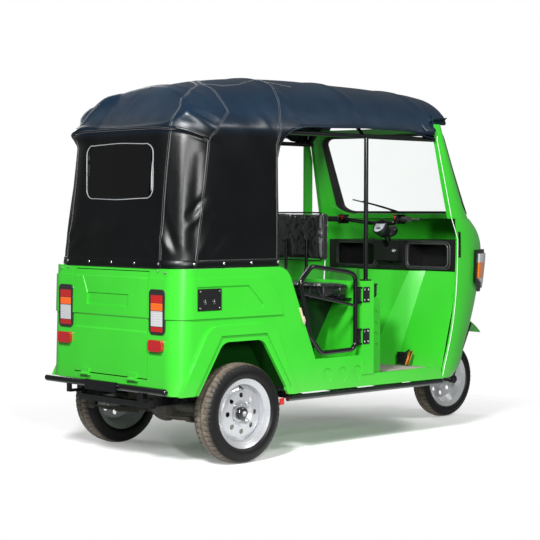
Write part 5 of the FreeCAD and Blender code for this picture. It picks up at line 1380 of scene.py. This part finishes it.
grip_inner = Vector((0.5244, 0.215, 1.195))
grip_outer = Vector((0.4784, 0.330, 1.195))
for side_name, sign in (("right", -1), ("left", 1)):
    mirror = Vector((1.0, sign, 1.0))
    inner = grip_inner * mirror
    run = (grip_outer * mirror - inner).normalized()
    ahead = Vector((run.y * sign, -run.x * sign, 0.0)).normalized()
    hub = inner + run * 0.006
    shape = bmesh.new()
    block(shape, hub, run, upwards, (0.040, 0.042, 0.040), 0.006)
    block(shape, hub - ahead * 0.016 + upwards * 0.012, run, upwards, (0.030, 0.022, 0.022), 0.004)
    tube_along(shape, [hub + ahead * 0.018, hub + ahead * 0.040, hub + ahead * 0.046
                       + run * 0.012], 0.007)
    closed_piece("switch_block_" + side_name, shape, switch_black, "steering")
    shape = bmesh.new()
    tube_along(shape, [hub + ahead * 0.044 + run * 0.004, hub + ahead * 0.050 + run * 0.03,
                       hub + ahead * 0.052 + run * 0.08, hub + ahead * 0.046 + run * 0.125,
                       hub + ahead * 0.047 + run * 0.137], 0.0048)
    turned(shape, [(-0.007, 0.003), (-0.004, 0.0068), (0.004, 0.0068), (0.007, 0.003)],
           hub + ahead * 0.047 + run * 0.140, run, count=16)
    closed_piece("brake_lever_" + side_name, shape, alloy, "steering")
    shape = bmesh.new()
    for step_out, lift in ((-0.009, 0.016), (0.004, 0.016), (-0.004, 0.004)):
        turned(shape, [(0.0, 0.0048), (0.0035, 0.0048), (0.005, 0.0035)],
               hub + run * step_out - ahead * 0.026 + upwards * lift, -ahead, count=14)
    closed_piece("switch_buttons_" + side_name, shape, button_red, "steering")

# DIAL. A round speed dial in a black pod on the column, turned to the driver, with a pale
# face, a ring of marks and a pointer under a raised bezel.
dial_white = coated("dial_white", (0.80, 0.84, 0.88), (0.72, 0.78, 0.84), rough=(0.2, 0.3),
                    coat=1.0)
pod_axis = Vector((-0.80, 0.0, 0.60))
pod_face = Vector((0.5975, 0.0, 1.1520))
shape = bmesh.new()
turned(shape, [(-0.072, 0.026), (-0.060, 0.038), (-0.020, 0.046), (0.004, 0.0485),
               (0.0066, 0.046), (0.0066, 0.041), (0.0018, 0.0395)], pod_face, pod_axis,
       count=48)
closed_piece("dial_bezel", shape, switch_black, "steering")
pod_foot = Vector((0.7022, 0.0, 1.0887))
column_axis = Vector((-0.4384, 0.0, 0.8988))
shape = bmesh.new()
turned(shape, [(0.0135, 0.0), (0.0135, 0.024), (0.0155, 0.034), (0.026, 0.0450),
               (0.030, 0.0460), (0.0500, 0.0460), (0.0548, 0.0445), (0.0560, 0.0400),
               (0.0560, 0.0)], pod_foot, column_axis, count=48)
bmesh.ops.remove_doubles(shape, verts=shape.verts, dist=0.0001)
instrument_pod = closed_piece("instrument_pod", shape, switch_black, "steering")
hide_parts("instrument")
shape = bmesh.new()
turned(shape, [(0.0017, 0.0392), (0.0028, 0.0392)], pod_face, pod_axis, count=48)
closed_piece("dial_plate", shape, dial_white, "steering", smooth=False)
shape = bmesh.new()
dial_up = pod_axis.cross(leftwards).normalized()
for count in range(25):
    turn = math.radians(-130 + 260 * count / 24)
    out = dial_up * -math.cos(turn) + leftwards * math.sin(turn)
    long = 0.007 if count % 4 == 0 else 0.004
    block(shape, pod_face + pod_axis * 0.0032 + out * (0.036 - long / 2), out, pod_axis,
          (long, 0.0012, 0.0006), 0.0001)
block(shape, pod_face + pod_axis * 0.0038 + leftwards * 0.009, leftwards, pod_axis,
      (0.030, 0.0018, 0.0008), 0.0002)
block(shape, pod_face + pod_axis * 0.0034 + dial_up * 0.014, leftwards, pod_axis,
      (0.030, 0.011, 0.0010), 0.0003)
closed_piece("dial_marks", shape, switch_black, "steering", smooth=False)

# CONSOLE. A grained plastic shelf with two framed glove boxes, the ignition lock and its key
# between them, and a moulded shroud round the steering column below.
wear(moulded_black, "dashboard")
console_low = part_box("dashboard")[0]
shape = bmesh.new()
for low_y, high_y in ((-0.430, -0.128), (0.128, 0.430)):
    tube_along(shape, rounded_ring(low_y, high_y, 0.922, 1.056, 0.028, console_low[0] + 0.044),
               0.0052, sides=10, closed=True)
    tube_along(shape, rounded_ring(low_y - 0.014, high_y + 0.014, 0.912, 1.066, 0.034,
                                   console_low[0] + 0.0465), 0.0036, closed=True)
bmesh.ops.recalc_face_normals(shape, faces=shape.faces)
frame_grey = coated("frame_grey", (0.030, 0.031, 0.033), (0.045, 0.046, 0.048),
                    rough=(0.3, 0.4), scale=700.0, height=0.0001)
made_piece("glove_box_frames", shape, frame_grey, "body")
shape = bmesh.new()
lock_place = Vector((console_low[0] - 0.0005, -0.062, 1.012))
turned(shape, [(0.0, 0.013), (0.004, 0.013), (0.006, 0.010), (0.0062, 0.0)], lock_place,
       (-1.0, 0.0, 0.0), count=24)
block(shape, lock_place + Vector((-0.014, 0.0, 0.0)), forwards, upwards,
      (0.018, 0.0022, 0.008), 0.0008)
closed_piece("ignition_lock", shape, zinc, "body")

column_top = Vector((0.6781, 0.0, 1.1390))
shape = bmesh.new()
turned(shape, [(-0.400, 0.030), (-0.395, 0.046), (-0.30, 0.052), (-0.20, 0.062),
               (-0.155, 0.064), (-0.150, 0.058)], column_top, column_axis, count=28)
turned(shape, [(-0.402, 0.027), (-0.149, 0.027)], column_top, column_axis, count=28)
closed_piece("column_shroud", shape, moulded_black, "body")

# FLOOR. A ribbed rubber mat, and a brake pedal with a ribbed rubber pad and an orange plate
# screwed to the floor beside it.
mat_rubber = coated("mat_rubber", (0.20, 0.185, 0.165), (0.29, 0.27, 0.24), rough=(0.6, 0.8),
                    scale=120.0, height=0.0003)
wear(mat_rubber, "floor_mat")
wear(gloss_powder, "pedal")
mat_low, mat_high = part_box("floor_mat")
stamp = bmesh.new()
block(stamp, (0.0, 0.0, 0.0008), forwards, upwards, (0.0042, 0.93, 0.0026), 0.0009)
spots = []
rib_count = 30
for count in range(rib_count):
    station = between(mat_low[0] + 0.008, 0.478, count / (rib_count - 1))
    spots.append((Vector((station, 0.0, mat_high[2])), upwards, forwards))
repeated("mat_ribs", spots, stamp, mat_rubber, "body")
pad_orange = coated("pad_orange", (0.62, 0.22, 0.03), (0.5, 0.17, 0.02), rough=(0.45, 0.6))
shape = bmesh.new()
for count in range(7):
    block(shape, (0.5055, -0.255, 0.384 + count * 0.0088), forwards, upwards,
          (0.005, 0.066, 0.004), 0.001)
closed_piece("pedal_pad", shape, seal_rubber, "body")
shape = bmesh.new()
block(shape, (0.516, -0.302, 0.412), (0.45, 0.0, 0.89), (1.0, 0.0, 0.0), (0.085, 0.022, 0.004),
      0.0012)
closed_piece("pedal_stop_plate", shape, pad_orange, "body")

# DOORS. Bent tube frames on black hinge plates with four bright bolts each, a tan catch on the
# tub's slanted edge, and the bolts at the top of the tub.
wear(gloss_powder, "door_left", "door_right", "door_hinges")
shape = bmesh.new()
bolt_spots = []
box_low, box_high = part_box("seat_box")
box_half = max(abs(box_low[1]), abs(box_high[1]))
for sign in (-1, 1):
    face = box_half * sign
    for height_now in (0.580, 0.800):
        block(shape, (-0.0735, face + sign * 0.0018, height_now), forwards,
              upwards, (0.050, 0.0036, 0.082), 0.0016)
        for dx in (-0.014, 0.014):
            for dz in (-0.027, 0.027):
                bolt_spots.append((Vector((-0.0735 + dx, face + sign * 0.0036,
                                           height_now + dz)),
                                   Vector((0, sign, 0)), forwards))
closed_piece("hinge_plates", shape, black_powder, "body")
catch_tan = coated("catch_tan", (0.42, 0.36, 0.24), (0.5, 0.43, 0.3), rough=(0.4, 0.5))
shape = bmesh.new()
for sign in (-1, 1):
    block(shape, (-0.548, 0.5195 * sign, 0.708), (0.36, 0.0, -0.93), leftwards,
          (0.090, 0.012, 0.009), 0.0025)
    block(shape, (-0.540, 0.5225 * sign, 0.690), (0.36, 0.0, -0.93), leftwards,
          (0.030, 0.018, 0.008), 0.002)
closed_piece("door_catches", shape, catch_tan, "body")
for sign in (-1, 1):
    for place_at in ((-1.363, 0.36 * sign, 0.952), (-1.3635, 0.415 * sign, 0.945)):
        bolt_spots.append((Vector(place_at), Vector((-1, 0, 0)), leftwards))
repeated("body_bolts", bolt_spots, dome(0.0052, 0.0042, 12), zinc, "body")

# CHARGE PLATE. A moulded flap on the right side wall, held by four bright screws, with two
# round socket caps.
wear(moulded_black, "charge_plate")
shape = bmesh.new()
plate_low, plate_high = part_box("charge_plate")
for dx in (0.012, plate_high[0] - plate_low[0] - 0.012):
    for dz in (0.012, plate_high[2] - plate_low[2] - 0.012):
        turned(shape, [(0.0, 0.0045), (0.0016, 0.0042), (0.0022, 0.003)],
               (plate_low[0] + dx, plate_low[1], plate_low[2] + dz), (0.0, -1.0, 0.0), count=12)
closed_piece("charge_plate_screws", shape, zinc, "body")
shape = bmesh.new()
for station in (-1.206, -1.149):
    turned(shape, [(0.0, 0.013), (0.003, 0.013), (0.0045, 0.011), (0.0045, 0.007),
                   (0.007, 0.006), (0.0075, 0.0)],
           (station, plate_low[1], 0.803), (0.0, -1.0, 0.0), count=20)
closed_piece("charge_caps", shape, cap_black, "body")

# NOSE TRIM. A pale bead along the rear edge of the nose, a slotted black strip behind the
# head lamp, and a red side reflector on its bracket under the sill.
cowl_copy = copy_of("front_cowl", "screen_frame")
cowl_rays = BVHTree.FromBMesh(cowl_copy)
cowl_copy.free()
trim_white = coated("trim_white", (0.78, 0.80, 0.78), (0.7, 0.72, 0.7), rough=(0.25, 0.35))
shape = bmesh.new()
strip = bmesh.new()
slot_spots = []
for sign in (-1, 1):
    line = []
    for count in range(56):
        height_now = between(0.330, 1.660, count / 55)
        spot, normal = cowl_rays.find_nearest(Vector((0.52, 0.53 * sign, height_now)))[:2]
        line.append(spot + Vector((0.006, 0.0015 * sign, 0.0)))
    tube_along(shape, line, 0.0018, sides=6)
    foot = cowl_rays.find_nearest(Vector((0.70, 0.6 * sign, 0.985)))[0]
    head = cowl_rays.find_nearest(Vector((0.695, 0.6 * sign, 1.125)))[0]
    block(strip, (foot + head) / 2 + Vector((0.0, 0.001 * sign, 0.0)), head - foot,
          leftwards, ((head - foot).length, 0.016, 0.004), 0.0016)
    for count in range(9):
        spot = foot.lerp(head, (count + 0.5) / 9) + Vector((0.0, 0.003 * sign, 0.0))
        slot_spots.append((spot, Vector((0, sign, 0)), forwards))
closed_piece("nose_trim_bead", shape, trim_white, "body")
closed_piece("nose_vent_strip", strip, switch_black, "body")
stamp = bmesh.new()
block(stamp, (0.0, 0.0, 0.0), forwards, upwards, (0.011, 0.004, 0.002), 0.0006)
repeated("nose_vent_ribs", slot_spots, stamp, alloy, "body")
shape = bmesh.new()
for sign in (-1, 1):
    block(shape, (-0.642, 0.470 * sign, 0.276), forwards, upwards,
          (0.032, 0.004, 0.034), 0.001)
closed_piece("side_reflectors", shape, button_red, "body")

# STAGE. A pale floor that fades into a white surround, soft lamps from behind and from both
# sides, and a level sky.
floor_radius = 9.0
floor_mesh = bpy.data.meshes.new("studio_floor")
shape = bmesh.new()
bmesh.ops.create_circle(shape, cap_ends=True, radius=floor_radius, segments=96)
shape.to_mesh(floor_mesh)
shape.free()
studio_floor = bpy.data.objects.new("studio_floor", floor_mesh)
scene.collection.objects.link(studio_floor)
floor_finish, tree, shader = new_finish("studio_floor_pale")
give(tree, shader, Base_Color=(0.93, 0.93, 0.93, 1.0), Roughness=0.9, Specular_IOR_Level=0.0)
place = object_place(tree)
far = step(tree, "ShaderNodeVectorMath", [(place, 0)], operation="LENGTH")
fade = spread(tree, far.outputs["Value"], 0.7, 2.3, 0.0, 1.0)
clear = step(tree, "ShaderNodeBsdfTransparent")
blend_out = step(tree, "ShaderNodeMixShader", [(fade, 0),
                                               (shader.outputs["BSDF"], 1),
                                               (clear.outputs["BSDF"], 2)])
shown(tree, blend_out)
floor_mesh.materials.append(floor_finish)

sky = bpy.data.worlds.new("studio_surround")
scene.world = sky
sky.use_nodes = True
tree = sky.node_tree
tree.nodes.clear()
light_path = tree.nodes.new("ShaderNodeLightPath")
seen = calc(tree, "MAXIMUM", light_path.outputs["Is Camera Ray"],
            light_path.outputs["Is Transmission Ray"])
surround = step(tree, "ShaderNodeBackground", Color=(1.0, 1.0, 1.0, 1.0), Strength=0.20)
white = step(tree, "ShaderNodeBackground", Color=(1.0, 1.0, 1.0, 1.0), Strength=1.0)
choice = step(tree, "ShaderNodeMixShader", [(seen, 0),
                                            (surround.outputs["Background"], 1),
                                            (white.outputs["Background"], 2)])
output = tree.nodes.new("ShaderNodeOutputWorld")
tree.links.new(choice.outputs["Shader"], output.inputs["Surface"])


def soft_lamp(name, place, target, width, height, power, colour=(1.0, 1.0, 1.0)):
    """A rectangular soft lamp that faces its target."""
    lamp = bpy.data.lights.new(name, "AREA")
    lamp.shape = "RECTANGLE"
    lamp.size = width
    lamp.size_y = height
    lamp.energy = power
    lamp.color = colour
    holder = bpy.data.objects.new(name, lamp)
    scene.collection.objects.link(holder)
    holder.location = place
    aim = Vector(target) - Vector(place)
    holder.rotation_euler = aim.to_track_quat("-Z", "Y").to_euler()
    return holder


soft_lamp("key_lamp", (-5.0, -3.0, 4.4), (-0.2, 0.0, 0.9), 0.9, 0.9, 580.0)
soft_lamp("front_lamp", (2.4, -4.4, 5.4), (0.3, 0.0, 0.9), 1.5, 1.5, 190.0)
soft_lamp("corner_lamp", (-4.5, -5.9, 2.6), (-1.2, -0.4, 1.2), 0.35, 1.4, 370.0)
soft_lamp("far_lamp", (1.0, 5.5, 3.6), (0.0, 0.0, 0.9), 3.0, 2.5, 120.0)

scene.view_settings.view_transform = "Standard"
